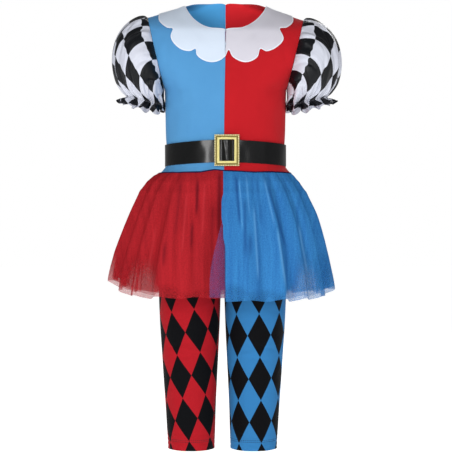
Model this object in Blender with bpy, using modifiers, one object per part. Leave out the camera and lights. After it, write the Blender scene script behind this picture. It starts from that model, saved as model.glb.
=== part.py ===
"""A child's two-coloured harlequin costume, filled out as if worn, with nobody in it.

The set is a short-sleeved dress with a scalloped collar, puff sleeves, a belt and a net skirt, and
a pair of leggings. Metres, +Z up, the front faces -Y. The origin is the middle of the neck, level
with the points where neckline and shoulder seam meet. Right and left are the wearer's: the blue
bodice half, the red skirt half and the red leg are on the right, at -X.
"""

import math
from collections import namedtuple

import bmesh
import bpy
from mathutils import Vector
from mathutils.bvhtree import BVHTree

# Driving dimensions, for a child of about 92 cm.
NECK_HALF = 0.0605
SHOULDER_HALF = 0.116
SHOULDER_DROP = 0.018
CHEST_HALF = 0.091
UNDERARM_Z = -0.126
WAIST_HALF = 0.0968
WAIST_Z = -0.250
WAIST_FRONT = 0.071
WAIST_BACK = 0.066
LEG_TOP = -0.2566
ARMHOLE_HALF_DEPTH = 0.046
LEAN = 0.004  # how much lower the left shoulder hangs

SEAM = 0.0003  # gap between two pieces that are sewn together
SEAM_REACH = 0.0008  # an edge this near the plane of a seam is taken to lie on it
BODICE_WALL = 0.0015
COLLAR_WALL = 0.0010
SLEEVE_WALL = 0.0012
NET_WALL = 0.0010
LEGGING_WALL = 0.0012
ROUND = 0.58  # how full a quarter of a body section is: 0.55 is an ellipse

Colour = namedtuple("Colour", "rgb roughness metallic")
BLUE_KNIT = Colour((0.10, 0.35, 0.72), 0.85, 0.0)
RED_KNIT = Colour((0.55, 0.015, 0.022), 0.85, 0.0)
WHITE_CLOTH = Colour((0.82, 0.83, 0.87), 0.80, 0.0)
BLACK_GLOSS = Colour((0.010, 0.010, 0.012), 0.22, 0.0)
PALE_GOLD = Colour((0.86, 0.68, 0.30), 0.28, 1.0)
RED_NET = Colour((0.42, 0.015, 0.025), 0.75, 0.0)
BLUE_NET = Colour((0.05, 0.24, 0.60), 0.75, 0.0)


def clear_scene():
    for obj in list(bpy.data.objects):
        bpy.data.objects.remove(obj, do_unlink=True)
    parts = bpy.data.collections.new("harlequin_costume")
    cutters = bpy.data.collections.new("cutters")
    bpy.context.scene.collection.children.link(parts)
    bpy.context.scene.collection.children.link(cutters)
    return parts, cutters


PARTS, CUTTERS = clear_scene()


def material(name, colour):
    made = bpy.data.materials.new(name)
    made.use_nodes = True
    shader = made.node_tree.nodes["Principled BSDF"]
    shader.inputs["Base Color"].default_value = (*colour.rgb, 1.0)
    shader.inputs["Roughness"].default_value = colour.roughness
    shader.inputs["Metallic"].default_value = colour.metallic
    return made


def ramp(x, start, end):
    """0 before start, 1 after end, and a smooth rise between."""
    t = min(max((x - start) / (end - start), 0.0), 1.0)
    return t * t * (3.0 - 2.0 * t)


def between(rows, t):
    """The row at t, from 0 at the first row to 1 at the last, on a smooth curve through them all."""
    place = min(max(t, 0.0), 1.0) * (len(rows) - 1)
    at = min(int(place), len(rows) - 2)
    f = place - at
    last = len(rows) - 1
    four = [rows[max(at - 1, 0)], rows[at], rows[at + 1], rows[min(at + 2, last)]]
    weights = (
        (-f + 2 * f**2 - f**3) / 2,
        (2 - 5 * f**2 + 3 * f**3) / 2,
        (f + 4 * f**2 - 3 * f**3) / 2,
        (f**3 - f**2) / 2,
    )
    return type(rows[0])(*(sum(w * v for w, v in zip(weights, column)) for column in zip(*four)))


def lookup(rows, key):
    """The row whose first column is key, on the same smooth curve. The first column rises."""
    low, high = 0.0, 1.0
    for _ in range(24):
        middle = (low + high) / 2
        if between(rows, middle)[0] < key:
            low = middle
        else:
            high = middle
    return between(rows, (low + high) / 2)


def arc(start, corner, end, u):
    """A point on the round from start to end that leaves and arrives along the lines to corner."""
    a, d = Vector(start), Vector(end)
    b = a + ROUND * (Vector(corner) - a)
    c = d + ROUND * (Vector(corner) - d)
    v = 1.0 - u
    return v**3 * a + 3 * v * v * u * b + 3 * v * u * u * c + u**3 * d


def leaned(point):
    """The left shoulder and sleeve hang a little lower than the right."""
    share = ramp(point.x, 0.03, 0.12) * ramp(point.z, -0.20, -0.04)
    return Vector((point.x, point.y, point.z - LEAN * share))


def sheet_mesh(grid, around=None):
    """An open surface through the rows of a grid. Rows for which around(row) is true close up."""
    bm = bmesh.new()
    columns = len(grid[0]) - 1
    vertices = []
    for r, row in enumerate(grid):
        closed = around is not None and around(r)
        line = [bm.verts.new(p) for p in (row[:-1] if closed else row)]
        vertices.append(line + [line[0]] if closed else line)
    for r in range(len(grid) - 1):
        for c in range(columns):
            bm.faces.new(
                (vertices[r][c], vertices[r][c + 1], vertices[r + 1][c + 1], vertices[r + 1][c])
            )
    bm.normal_update()
    return bm


def square_to_seam(vertex):
    """The way through the wall at a vertex. On the plane of a seam it stays in that plane.

    The seams lie at x = 0, at y = 0, and level at the waist and at the top of the leggings.
    """
    way = vertex.normal.copy()
    if vertex.is_boundary:
        if abs(vertex.co.x) < SEAM_REACH:
            way.x = 0.0
        if abs(vertex.co.y) < SEAM_REACH:
            way.y = 0.0
        if min(abs(vertex.co.z - WAIST_Z), abs(vertex.co.z - LEG_TOP)) < SEAM_REACH:
            way.z = 0.0
    return way.normalized()


def cloth(name, bm, wall, colour, centre=Vector((0, 0, -0.2))):
    """Turns the surface bm so that it faces away from centre, gives it a wall towards the inside,
    and makes it a named part.
    """
    away = 0.0
    for face in bm.faces:
        away += (face.calc_center_median() - centre).xy.dot(face.normal.xy) * face.calc_area()
    if away < 0:
        bmesh.ops.reverse_faces(bm, faces=bm.faces[:])
        bm.normal_update()
    ways = {v: square_to_seam(v) for v in bm.verts}
    outer = list(bm.verts)
    inner_of = {v: v.co - wall * ways[v] for v in outer}
    made = bmesh.ops.extrude_face_region(bm, geom=bm.faces[:], use_keep_orig=True)
    copies = [v for v in made["geom"] if isinstance(v, bmesh.types.BMVert)]
    target = {tuple(v.co): place for v, place in inner_of.items()}
    for v in copies:
        v.co = target[tuple(v.co)]
    bmesh.ops.recalc_face_normals(bm, faces=bm.faces[:])
    return part(name, bm, colour)


def part(name, bm, colour):
    mesh = bpy.data.meshes.new(name)
    bm.to_mesh(mesh)
    bm.free()
    mesh.shade_smooth()
    mesh.set_sharp_from_angle(angle=math.radians(50))
    mesh.materials.append(material(name, colour))
    obj = bpy.data.objects.new(name, mesh)
    PARTS.objects.link(obj)
    return obj


# Bodice. Each row runs from the middle, or from the neckline, to the side seam or the armhole.
# hole is the place on the armhole in degrees, 0 at the shoulder and 180 at the underarm. Below the
# underarm the row ends at side and side_z instead. corner says how far along the row it turns.
BodiceRow = namedtuple("BodiceRow", "inner_x inner_y inner_z side side_z hole corner")
BODICE_COLUMNS = 14
FRONT_ROWS = [
    BodiceRow(0.0, WAIST_FRONT, WAIST_Z, WAIST_HALF, WAIST_Z, 180.0, 1.00),
    BodiceRow(0.0, 0.0672, -0.240, 0.0894, -0.240, 180.0, 1.00),
    BodiceRow(0.0, 0.0664, -0.222, 0.0876, -0.222, 180.0, 1.00),
    BodiceRow(0.0, 0.0660, -0.196, 0.0892, -0.196, 180.0, 1.00),
    BodiceRow(0.0, 0.0668, -0.164, 0.0900, -0.162, 180.0, 1.00),
    BodiceRow(0.0, 0.0685, -0.134, CHEST_HALF, UNDERARM_Z, 180.0, 1.00),
    BodiceRow(0.0, 0.0670, -0.108, CHEST_HALF, UNDERARM_Z, 148.0, 0.96),
    BodiceRow(0.0, 0.0635, -0.084, CHEST_HALF, UNDERARM_Z, 118.0, 0.90),
    BodiceRow(0.0, 0.0575, -0.060, CHEST_HALF, UNDERARM_Z, 92.0, 0.84),
    BodiceRow(0.0, 0.0500, -0.0442, CHEST_HALF, UNDERARM_Z, 70.0, 0.76),
    BodiceRow(0.026, 0.0450, -0.0404, CHEST_HALF, UNDERARM_Z, 50.0, 0.66),
    BodiceRow(0.043, 0.0335, -0.0297, CHEST_HALF, UNDERARM_Z, 32.0, 0.58),
    BodiceRow(0.055, 0.0170, -0.0142, CHEST_HALF, UNDERARM_Z, 15.0, 0.52),
    BodiceRow(NECK_HALF, 0.0, -0.001, CHEST_HALF, UNDERARM_Z, 0.0, 0.50),
]
BACK_ROWS = [
    BodiceRow(0.0, WAIST_BACK, WAIST_Z, WAIST_HALF, WAIST_Z, 180.0, 1.00),
    BodiceRow(0.0, 0.0616, -0.240, 0.0894, -0.240, 180.0, 1.00),
    BodiceRow(0.0, 0.0602, -0.222, 0.0876, -0.222, 180.0, 1.00),
    BodiceRow(0.0, 0.0590, -0.196, 0.0892, -0.196, 180.0, 1.00),
    BodiceRow(0.0, 0.0610, -0.162, 0.0900, -0.162, 180.0, 1.00),
    BodiceRow(0.0, 0.0640, -0.128, CHEST_HALF, UNDERARM_Z, 180.0, 1.00),
    BodiceRow(0.0, 0.0650, -0.098, CHEST_HALF, UNDERARM_Z, 148.0, 0.96),
    BodiceRow(0.0, 0.0635, -0.070, CHEST_HALF, UNDERARM_Z, 118.0, 0.90),
    BodiceRow(0.0, 0.0580, -0.040, CHEST_HALF, UNDERARM_Z, 92.0, 0.84),
    BodiceRow(0.0, 0.0470, -0.012, CHEST_HALF, UNDERARM_Z, 68.0, 0.76),
    BodiceRow(0.0, 0.0380, 0.008, CHEST_HALF, UNDERARM_Z, 50.0, 0.68),
    BodiceRow(0.026, 0.0345, 0.0085, CHEST_HALF, UNDERARM_Z, 34.0, 0.60),
    BodiceRow(0.047, 0.0220, 0.0060, CHEST_HALF, UNDERARM_Z, 18.0, 0.54),
    BodiceRow(NECK_HALF, 0.0, -0.001, CHEST_HALF, UNDERARM_Z, 0.0, 0.50),
]

SHOULDER_POINT = Vector((SHOULDER_HALF, 0, -SHOULDER_DROP))
UNDERARM_POINT = Vector((CHEST_HALF, 0, UNDERARM_Z))


def armhole(degrees):
    """A point of the armhole's edge on the left front, on an oval from shoulder to underarm."""
    middle = (SHOULDER_POINT + UNDERARM_POINT) / 2
    half = (SHOULDER_POINT - UNDERARM_POINT) / 2
    turn = math.radians(degrees)
    return middle + half * math.cos(turn) + Vector((0, -ARMHOLE_HALF_DEPTH, 0)) * math.sin(turn)


def bodice_point(row, u, side, facing):
    """side is -1 on the right and 1 on the left, and facing is -1 in front and 1 behind."""
    edge = armhole(row.hole)
    low = ramp(-row.side_z, -UNDERARM_Z, -UNDERARM_Z + 0.004)
    edge = edge.lerp(Vector((row.side, 0, row.side_z)), low)
    start = Vector((row.inner_x, row.inner_y))
    end = Vector((edge.x, -edge.y))
    flat = arc(start, (start.x + row.corner * (end.x - start.x), start.y), end, u)
    z = row.inner_z + (edge.z - row.inner_z) * u
    x = side * max(flat.x, SEAM / 2)
    y = facing * max(flat.y, SEAM / 2)
    return leaned(Vector((x, y, z)))


def bodice_grid(rows, side, facing):
    return [
        [
            bodice_point(row, c / BODICE_COLUMNS, side, facing)
            for c in range(BODICE_COLUMNS + 1)
        ]
        for row in rows
    ]


def bodice():
    panels = (
        ("bodice_front_blue", FRONT_ROWS, -1, -1, BLUE_KNIT),
        ("bodice_front_red", FRONT_ROWS, 1, -1, RED_KNIT),
        ("bodice_back_blue", BACK_ROWS, -1, 1, BLUE_KNIT),
        ("bodice_back_red", BACK_ROWS, 1, 1, RED_KNIT),
    )
    for name, rows, side, facing, colour in panels:
        cloth(name, sheet_mesh(bodice_grid(rows, side, facing)), BODICE_WALL, colour)


def bodice_surface():
    """The bodice's outside as one surface to lay other pieces on."""
    points, faces = [], []
    for rows, facing in ((FRONT_ROWS, -1), (BACK_ROWS, 1)):
        for side in (-1, 1):
            base = len(points)
            wide = BODICE_COLUMNS + 1
            for line in bodice_grid(rows, side, facing):
                points.extend(line)
            for r in range(len(rows) - 1):
                for c in range(BODICE_COLUMNS):
                    at = base + r * wide + c
                    faces.append((at, at + 1, at + wide + 1, at + wide))
    return BVHTree.FromPolygons(points, faces)


SURFACE = bodice_surface()


# Collar. Its outer edge is a row of scallops, given as seen from the front: the angle from straight
# down about the middle of the neck, and the distance. It lies on the front panels. The notch between
# the two lowest scallops is a little to the left of the middle, so the two halves differ.
Scallop = namedtuple("Scallop", "degrees reach")
COLLAR_RIGHT = [
    Scallop(0.0, 0.0837),
    Scallop(5.5, 0.0905),
    Scallop(12.3, 0.0946),
    Scallop(20.0, 0.0948),
    Scallop(27.0, 0.0915),
    Scallop(31.0, 0.0845),
    Scallop(34.5, 0.0915),
    Scallop(41.0, 0.0968),
    Scallop(49.0, 0.0985),
    Scallop(56.5, 0.0960),
    Scallop(61.9, 0.0878),
    Scallop(66.0, 0.0950),
    Scallop(74.5, 0.1018),
    Scallop(82.2, 0.0998),
]
COLLAR_LEFT = [
    Scallop(0.0, 0.0837),
    Scallop(3.7, 0.0745),
    Scallop(7.5, 0.0860),
    Scallop(17.5, 0.0968),
    Scallop(28.0, 0.0965),
    Scallop(35.0, 0.0880),
    Scallop(39.0, 0.0960),
    Scallop(48.0, 0.1005),
    Scallop(57.5, 0.1003),
    Scallop(64.0, 0.0887),
    Scallop(69.0, 0.0975),
    Scallop(76.0, 0.1030),
    Scallop(82.2, 0.1000),
]
COLLAR_COLUMNS = 30
COLLAR_ROWS = 4
COLLAR_OFF = 0.0011
COLLAR_ROLL = 0.0012  # how far the neck edge stands off the panel
COLLAR_ROLL_SHARE = 0.35  # the share of the width over which it comes down again


def neckline(u):
    """The front neckline on the left, from the middle at 0 to the shoulder seam at 1."""
    first = 9 / (len(FRONT_ROWS) - 1)
    return bodice_point(between(FRONT_ROWS, first + (1 - first) * u), 0.0, 1, -1)


def on_front(x, z):
    """The place on the front of the bodice behind the point (x, z) as seen from the front."""
    place = SURFACE.ray_cast(Vector((x, -0.3, z)), Vector((0, 1, 0)))[0]
    return place if place is not None else SURFACE.find_nearest(Vector((x, -0.01, z)))[0]


def collar_grid(side, scallops):
    """Places on the panel itself, from the neckline out to the scallops."""
    lines = []
    for r in range(COLLAR_ROWS + 1):
        line = []
        f = r / COLLAR_ROWS
        for c in range(COLLAR_COLUMNS + 1):
            u = c / COLLAR_COLUMNS
            edge = neckline(u)
            scallop = between(scallops, u)
            turn = math.radians(scallop.degrees)
            outer = Vector((scallop.reach * math.sin(turn), 0, -scallop.reach * math.cos(turn)))
            flat = edge.lerp(outer, f)
            if r > 0:
                x = side * max(flat.x, SEAM)
                place = on_front(x, leaned(Vector((x, 0, flat.z))).z)
            else:
                place = leaned(Vector((side * edge.x, edge.y, edge.z)))
            line.append(place)
        lines.append(line)
    return lines


def collar_half(name, side, scallops):
    """Lifts the places off the panel, a little more where the collar rolls over the neckline."""
    bm = sheet_mesh(collar_grid(side, scallops))
    toward = 1 if sum(v.normal.y for v in bm.verts) < 0 else -1
    ways = {v: toward * square_to_seam(v) for v in bm.verts}
    for index, v in enumerate(bm.verts):
        f = index // (COLLAR_COLUMNS + 1) / COLLAR_ROWS
        roll = COLLAR_ROLL * (1 - ramp(f, 0.0, COLLAR_ROLL_SHARE))
        v.co += ways[v] * (COLLAR_OFF + COLLAR_WALL + roll)
        v.co.x = side * max(side * v.co.x, SEAM / 2)
    bm.normal_update()
    cloth(name, bm, COLLAR_WALL, WHITE_CLOTH)


def collar():
    collar_half("collar_right", -1, COLLAR_RIGHT)
    collar_half("collar_left", 1, COLLAR_LEFT)


# Sleeves. Each ring is an oval between an outer and an inner point of the sleeve's outline, seen
# from the front on the left. depth is its half depth, waves how far its gathers stand out, and dip
# how far its front and back hang below the line between the two points.
SleeveRing = namedtuple("SleeveRing", "outer_x outer_z inner_x inner_z depth waves dip")
SLEEVE_RINGS = [
    SleeveRing(0.1164, -0.0178, 0.0916, -0.1264, 0.0462, 0.0000, 0.0000),
    SleeveRing(0.1210, -0.0170, 0.0920, -0.1288, 0.0500, 0.0014, 0.0000),
    SleeveRing(0.1300, -0.0184, 0.0921, -0.1312, 0.0545, 0.0018, 0.0000),
    SleeveRing(0.1420, -0.0240, 0.0921, -0.1336, 0.0585, 0.0014, 0.0000),
    SleeveRing(0.1535, -0.0342, 0.0921, -0.1358, 0.0605, 0.0012, 0.0000),
    SleeveRing(0.1630, -0.0500, 0.0921, -0.1380, 0.0600, 0.0012, 0.0000),
    SleeveRing(0.1680, -0.0710, 0.0921, -0.1400, 0.0565, 0.0014, 0.0000),
    SleeveRing(0.1675, -0.0930, 0.0921, -0.1420, 0.0505, 0.0020, 0.0000),
    SleeveRing(0.1615, -0.1150, 0.0921, -0.1444, 0.0425, 0.0026, 0.0010),
    SleeveRing(0.1525, -0.1295, 0.0922, -0.1465, 0.0345, 0.0024, 0.0015),
    SleeveRing(0.1470, -0.1362, 0.0922, -0.1490, 0.0300, 0.0012, 0.0015),
    SleeveRing(0.1515, -0.1390, 0.0922, -0.1535, 0.0325, 0.0030, 0.0020),
    SleeveRing(0.1570, -0.1425, 0.0922, -0.1580, 0.0365, 0.0048, 0.0030),
]
SLEEVE_WAVES = 11
SLEEVE_COLUMNS = 4 * SLEEVE_WAVES
LEFT_REACH = 1.075  # the left sleeve is spread a little further out


def sleeve_point(ring, u, side):
    turn = 2 * math.pi * u
    outer = Vector((ring.outer_x, 0, ring.outer_z))
    inner = Vector((ring.inner_x, 0, ring.inner_z))
    across = (outer - inner).normalized()
    swing = math.sin(3 * turn + 0.7) * 0.35 + math.sin(2 * turn + 2.0) * 0.25
    near_body = ramp(-math.cos(turn), 0.5, 1.0)
    wave = ring.waves * math.cos(SLEEVE_WAVES * turn) * (1 - 0.75 * near_body) * (1 + swing)
    half = (outer - inner).length / 2 + wave
    depth = ring.depth + wave
    point = (outer + inner) / 2 + across * half * math.cos(turn)
    point += Vector((0, -depth * math.sin(turn), 0))
    point.z -= ring.dip * abs(math.sin(turn))
    if side > 0 and point.x > SHOULDER_HALF:
        point.x = SHOULDER_HALF + (point.x - SHOULDER_HALF) * LEFT_REACH
    return leaned(Vector((side * point.x, point.y, point.z)))


def sleeves():
    for name, side in (("sleeve_right", -1), ("sleeve_left", 1)):
        grid = [
            [
                sleeve_point(ring, c / SLEEVE_COLUMNS, side)
                for c in range(SLEEVE_COLUMNS + 1)
            ]
            for ring in SLEEVE_RINGS
        ]
        middle = Vector((side * 0.122, 0, -0.09))
        cloth(name, sheet_mesh(grid, lambda r: True), SLEEVE_WALL, WHITE_CLOTH, middle)


# Belt. A level strap round the waist that runs over the bar of a slide buckle at the front.
BELT_TOP = -0.2064
BELT_BOTTOM = -0.2376
BELT_OFF = 0.0006
BELT_WALL = 0.0016
BELT_COLUMNS = 52
BUCKLE_X = 0.0020
BUCKLE_Z = -0.2220
BUCKLE_WIDTH = 0.0346
BUCKLE_HEIGHT = 0.0444
BUCKLE_OPENING_WIDTH = 0.0212
BUCKLE_OPENING_HEIGHT = 0.0324
BUCKLE_THICK = 0.0030
BAR_THICK = 0.0018
BAR_WIDTH = 0.0030
STRAP_RISE = 0.0030  # how far the strap stands out where it goes over the bar
STRAP_RISE_HALF = 0.0088


def around_body(turn, z):
    """The bodice's outside at height z, in the direction turn from straight ahead, with its way out."""
    out = Vector((math.sin(turn), -math.cos(turn), 0))
    start = Vector((0, 0, z)) + out * 0.3
    place, way, _, _ = SURFACE.ray_cast(start, -out)
    if place is None:
        place, way, _, _ = SURFACE.find_nearest(Vector((0, 0, z)) + out * WAIST_FRONT)
    way = way if way.dot(out) > 0 else -way
    return place, way


def belt_turns():
    """Directions round the waist: even, and closer together where the strap rises over the bar."""
    middle = math.atan2(BUCKLE_X, WAIST_FRONT)
    over_bar = STRAP_RISE_HALF / WAIST_FRONT
    fine = [middle + side * over_bar * f for side in (-1, 1) for f in (0.15, 0.4, 0.7, 1.0)]
    coarse = []
    for c in range(BELT_COLUMNS):
        turn = (c + 0.5) / BELT_COLUMNS * 2 * math.pi - math.pi
        if abs(turn - middle) > 1.25 * over_bar:
            coarse.append(turn)
    return sorted(fine + coarse)


def strap_line(turn):
    """The strap's outer line in the direction turn, before it rises: clear of both its edges."""
    places = [around_body(turn, z) for z in (BELT_BOTTOM, BELT_TOP)]
    place, way = max(places, key=lambda found: found[0].xy.length)
    level = Vector((way.x, way.y, 0)).normalized()
    return place + level * (BELT_OFF + BELT_WALL), level


def belt():
    line = []
    for turn in belt_turns():
        place, level = strap_line(turn)
        from_bar = abs(place.x - BUCKLE_X) / STRAP_RISE_HALF if place.y < 0 else 1.0
        line.append(place + level * STRAP_RISE * (1 - ramp(from_bar, 0.0, 1.0)))
    line.append(line[0])
    grid = [[Vector((p.x, p.y, z)) for p in line] for z in (BELT_BOTTOM, BELT_TOP)]
    cloth("belt_strap", sheet_mesh(grid, lambda r: True), BELT_WALL, BLACK_GLOSS)


def block(name, size, place):
    bm = bmesh.new()
    bmesh.ops.create_cube(bm, size=1.0)
    bmesh.ops.scale(bm, vec=size, verts=bm.verts[:])
    bmesh.ops.translate(bm, vec=place, verts=bm.verts[:])
    mesh = bpy.data.meshes.new(name)
    bm.to_mesh(mesh)
    bm.free()
    return bpy.data.objects.new(name, mesh)


def helper(obj):
    obj.hide_render = True
    obj.display_type = "WIRE"
    CUTTERS.objects.link(obj)
    return obj


def buckle():
    """A rectangular frame and an upright bar behind it, cast in one, with rounded edges."""
    strap_front = strap_line(math.atan2(BUCKLE_X, WAIST_FRONT))[0].y
    back = strap_front - SEAM
    middle = back - BUCKLE_THICK / 2
    frame = block(
        "belt_buckle", (BUCKLE_WIDTH, BUCKLE_THICK, BUCKLE_HEIGHT), (BUCKLE_X, middle, BUCKLE_Z)
    )
    frame.data.materials.append(material("belt_buckle", PALE_GOLD))
    PARTS.objects.link(frame)
    opening = block(
        "buckle_opening",
        (BUCKLE_OPENING_WIDTH, 3 * BUCKLE_THICK, BUCKLE_OPENING_HEIGHT),
        (BUCKLE_X, middle, BUCKLE_Z),
    )
    strap_back = strap_front - STRAP_RISE + BELT_WALL
    bar_middle = strap_back + SEAM + BAR_THICK / 2
    bar = block(
        "buckle_bar",
        (BAR_WIDTH, BAR_THICK, BUCKLE_OPENING_HEIGHT + 0.004),
        (BUCKLE_X, bar_middle, BUCKLE_Z),
    )
    for label, operation, other in (("opening", "DIFFERENCE", opening), ("bar", "UNION", bar)):
        boolean = frame.modifiers.new(label, "BOOLEAN")
        boolean.operation = operation
        boolean.solver = "EXACT"
        boolean.object = helper(other)
    edges = frame.modifiers.new("edges", "BEVEL")
    edges.width = 0.0005
    edges.segments = 2
    edges.limit_method = "ANGLE"


# Skirt. Each layer of net runs from the middle of the front, round one side, to the middle of the
# back. down is the share of the way from waist to hem, folds how far the folds stand out, and under
# how far the under layer lies inside the outer one.
SkirtRow = namedtuple("SkirtRow", "down right left front back folds under")
SKIRT_ROWS = [
    SkirtRow(0.00, 0.1000, 0.0985, 0.0718, 0.0668, 0.0003, 0.0022),
    SkirtRow(0.03, 0.1075, 0.1030, 0.0765, 0.0715, 0.0010, 0.0032),
    SkirtRow(0.08, 0.1160, 0.1100, 0.0835, 0.0790, 0.0016, 0.0036),
    SkirtRow(0.17, 0.1262, 0.1205, 0.0925, 0.0900, 0.0024, 0.0038),
    SkirtRow(0.36, 0.1385, 0.1348, 0.1070, 0.1070, 0.0036, 0.0044),
    SkirtRow(0.55, 0.1497, 0.1440, 0.1195, 0.1200, 0.0046, 0.0052),
    SkirtRow(0.74, 0.1597, 0.1512, 0.1300, 0.1310, 0.0056, 0.0060),
    SkirtRow(1.00, 0.1675, 0.1585, 0.1400, 0.1420, 0.0070, 0.0068),
]
SKIRT_TOP = WAIST_Z - 0.0004
HEM_BACK = -0.4330
HEM_LIFT_SHARPNESS = 12  # a high power keeps the hem level up to near the sides, where it rises
SKIRT_FOLDS = 11
SKIRT_COLUMNS = 4 * SKIRT_FOLDS
SKIRT_STEPS = 6
TUCK = 0.0145  # how far the red layers go in under the blue ones at the middle of the front
UNDER_LAP = 0.0247  # how far the blue under layer reaches over the red one at the hem
EDGE_LAP = 0.006  # how far the blue outer layer swings over the red one a third of the way down

Layer = namedtuple("Layer", "name side depth phase hem_front hem_side colour")
SKIRT_LAYERS = [
    Layer("skirt_red", -1, 0, 0.4, -0.4315, -0.4100, RED_NET),
    Layer("skirt_red_under", -1, 1, 0.4, -0.4265, -0.4060, RED_NET),
    Layer("skirt_blue", 1, 0, 1.9, -0.4350, -0.4220, BLUE_NET),
    Layer("skirt_blue_under", 1, 1, 1.9, -0.4310, -0.4180, BLUE_NET),
]


def lap(layer, down):
    """How far the front edge of a layer lies past the middle, measured along x."""
    if layer.name == "skirt_blue_under":
        return UNDER_LAP * ramp(down, 0.20, 0.90)
    if layer.name == "skirt_blue":
        return EDGE_LAP * ramp(down, 0.10, 0.26) * (1 - ramp(down, 0.36, 0.52))
    return 0.0


def skirt_plan(row, layer, u):
    """The layer's plain line without folds: u is 0 at the front, 0.5 at the side, 1 at the back."""
    side = row.right if layer.side < 0 else row.left
    if u < 0.5:
        point = arc((0, -row.front), (side, -row.front), (side, 0), abs(u) * 2)
        return Vector((math.copysign(point.x, u), point.y))
    return arc((side, 0), (side, row.back), (0, row.back), (u - 0.5) * 2)


def skirt_point(layer, u, down):
    row = lookup(SKIRT_ROWS, down)
    past = lap(layer, down) / (6 * ROUND * max(row.left, row.right))
    around = u - past * (1 - ramp(u, 0.0, 0.16))
    plain = skirt_plan(row, layer, around)
    along = skirt_plan(row, layer, around + 0.01 if around < 0.5 else around - 0.01) - plain
    along *= 1 if around < 0.5 else -1
    out = Vector((along.y, -along.x)).normalized()
    turn = 2 * math.pi * SKIRT_FOLDS * around
    uneven = 0.55 * math.sin(2 * math.pi * 3 * around + layer.phase)
    near_front = 1 - ramp(u, 0.0, 0.12)
    near_back = ramp(u, 0.94, 1.0)
    size = row.folds * (1 + 0.30 * math.sin(2 * math.pi * 5 * around + layer.phase))
    fold = size * math.cos(turn + uneven + layer.phase) * (1 - 0.7 * near_front - 0.5 * near_back)
    inset = layer.depth * row.under
    if layer.side < 0:
        inset += TUCK * ramp(down, 0.02, 0.32) * (1 - ramp(u, 0.03, 0.22))
    flat = plain + out * (fold - inset)
    x = layer.side * (flat.x if lap(layer, down) > 0 and u < 0.25 else max(flat.x, SEAM / 2))
    sideways = math.sin(math.pi * min(max(around, 0.0), 1.0)) ** HEM_LIFT_SHARPNESS
    ends = layer.hem_front if around < 0.5 else HEM_BACK
    hem = ends + (layer.hem_side - ends) * sideways + 0.3 * fold
    return Vector((x, flat.y, SKIRT_TOP + (hem - SKIRT_TOP) * down))


def skirt():
    for layer in SKIRT_LAYERS:
        grid = [
            [
                skirt_point(layer, c / SKIRT_COLUMNS, (r / SKIRT_STEPS) ** 1.25)
                for c in range(SKIRT_COLUMNS + 1)
            ]
            for r in range(SKIRT_STEPS + 1)
        ]
        cloth(layer.name, sheet_mesh(grid), NET_WALL, layer.colour, Vector((0, 0, -0.3)))


# Leggings. Each row is one leg's oval about its own middle. Above the crotch the oval reaches past
# the seam between the legs and is cut off there, so the leg is open towards the other one.
LegRow = namedtuple("LegRow", "z middle half front back")
CROTCH_Z = -0.3620
LEG_GAP = 0.0006
SEAM_X = -0.0045  # the leggings' middle lies a little to the right below the waist
LEG_ROWS = [
    LegRow(LEG_TOP, 0.0000, 0.0915, 0.0672, 0.0625),
    LegRow(-0.275, 0.0080, 0.0850, 0.0685, 0.0650),
    LegRow(-0.300, 0.0200, 0.0740, 0.0695, 0.0690),
    LegRow(-0.325, 0.0320, 0.0625, 0.0690, 0.0700),
    LegRow(-0.345, 0.0410, 0.0540, 0.0665, 0.0680),
    LegRow(CROTCH_Z, 0.0478, 0.0474, 0.0620, 0.0640),
    LegRow(-0.400, 0.0486, 0.0466, 0.0540, 0.0560),
    LegRow(-0.441, 0.0490, 0.0460, 0.0495, 0.0510),
    LegRow(-0.480, 0.0488, 0.0444, 0.0465, 0.0480),
    LegRow(-0.520, 0.0484, 0.0422, 0.0440, 0.0460),
    LegRow(-0.560, 0.0481, 0.0399, 0.0415, 0.0465),
    LegRow(-0.600, 0.0476, 0.0376, 0.0390, 0.0440),
    LegRow(-0.628, 0.0471, 0.0363, 0.0375, 0.0405),
    LegRow(-0.662, 0.0467, 0.0350, 0.0355, 0.0375),
]
LEG_COLUMNS = 22
LEG_STEPS = 13


def leg_point(row, c, side, closed):
    span = math.pi if closed else math.acos(-min(row.middle / row.half, 1.0))
    turn = -span + 2 * span * c / LEG_COLUMNS
    x = max(row.middle + row.half * math.cos(turn), LEG_GAP / 2)
    y = (row.front if turn < 0 else row.back) * math.sin(turn)
    shift = SEAM_X * ramp(-row.z, -LEG_TOP, -CROTCH_Z)
    return Vector((side * x + shift, y, row.z))


def leg_steps():
    """The rows of a leg, one of them exactly at the crotch."""
    place = LEG_ROWS.index(next(row for row in LEG_ROWS if row.z == CROTCH_Z)) / (len(LEG_ROWS) - 1)
    above = round(LEG_STEPS * place)
    below = LEG_STEPS - above
    steps = [place * s / above for s in range(above + 1)]
    steps += [place + (1 - place) * s / below for s in range(1, below + 1)]
    return [between(LEG_ROWS, t) for t in steps]


def leggings():
    rows = leg_steps()
    for name, side, colour in (("legging_right", -1, RED_KNIT), ("legging_left", 1, BLUE_KNIT)):
        closed = [row.z <= CROTCH_Z + 1e-6 for row in rows]
        grid = [
            [leg_point(row, c, side, shut) for c in range(LEG_COLUMNS + 1)]
            for row, shut in zip(rows, closed)
        ]
        middle = Vector((side * 0.047 + SEAM_X, 0, -0.5))
        cloth(name, sheet_mesh(grid, lambda r: closed[r]), LEGGING_WALL, colour, middle)


# The waistband of the leggings lies inside the bodice, above and just below the waist seam.
BandRow = namedtuple("BandRow", "z half front back")
BAND_ROWS = [
    BandRow(-0.2340, 0.0864, 0.0648, 0.0590),
    BandRow(-0.2450, 0.0888, 0.0660, 0.0606),
    BandRow(LEG_TOP + SEAM, 0.0915, 0.0672, 0.0625),
]
BAND_COLUMNS = 32
BAND_WALL = 0.0015


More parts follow.
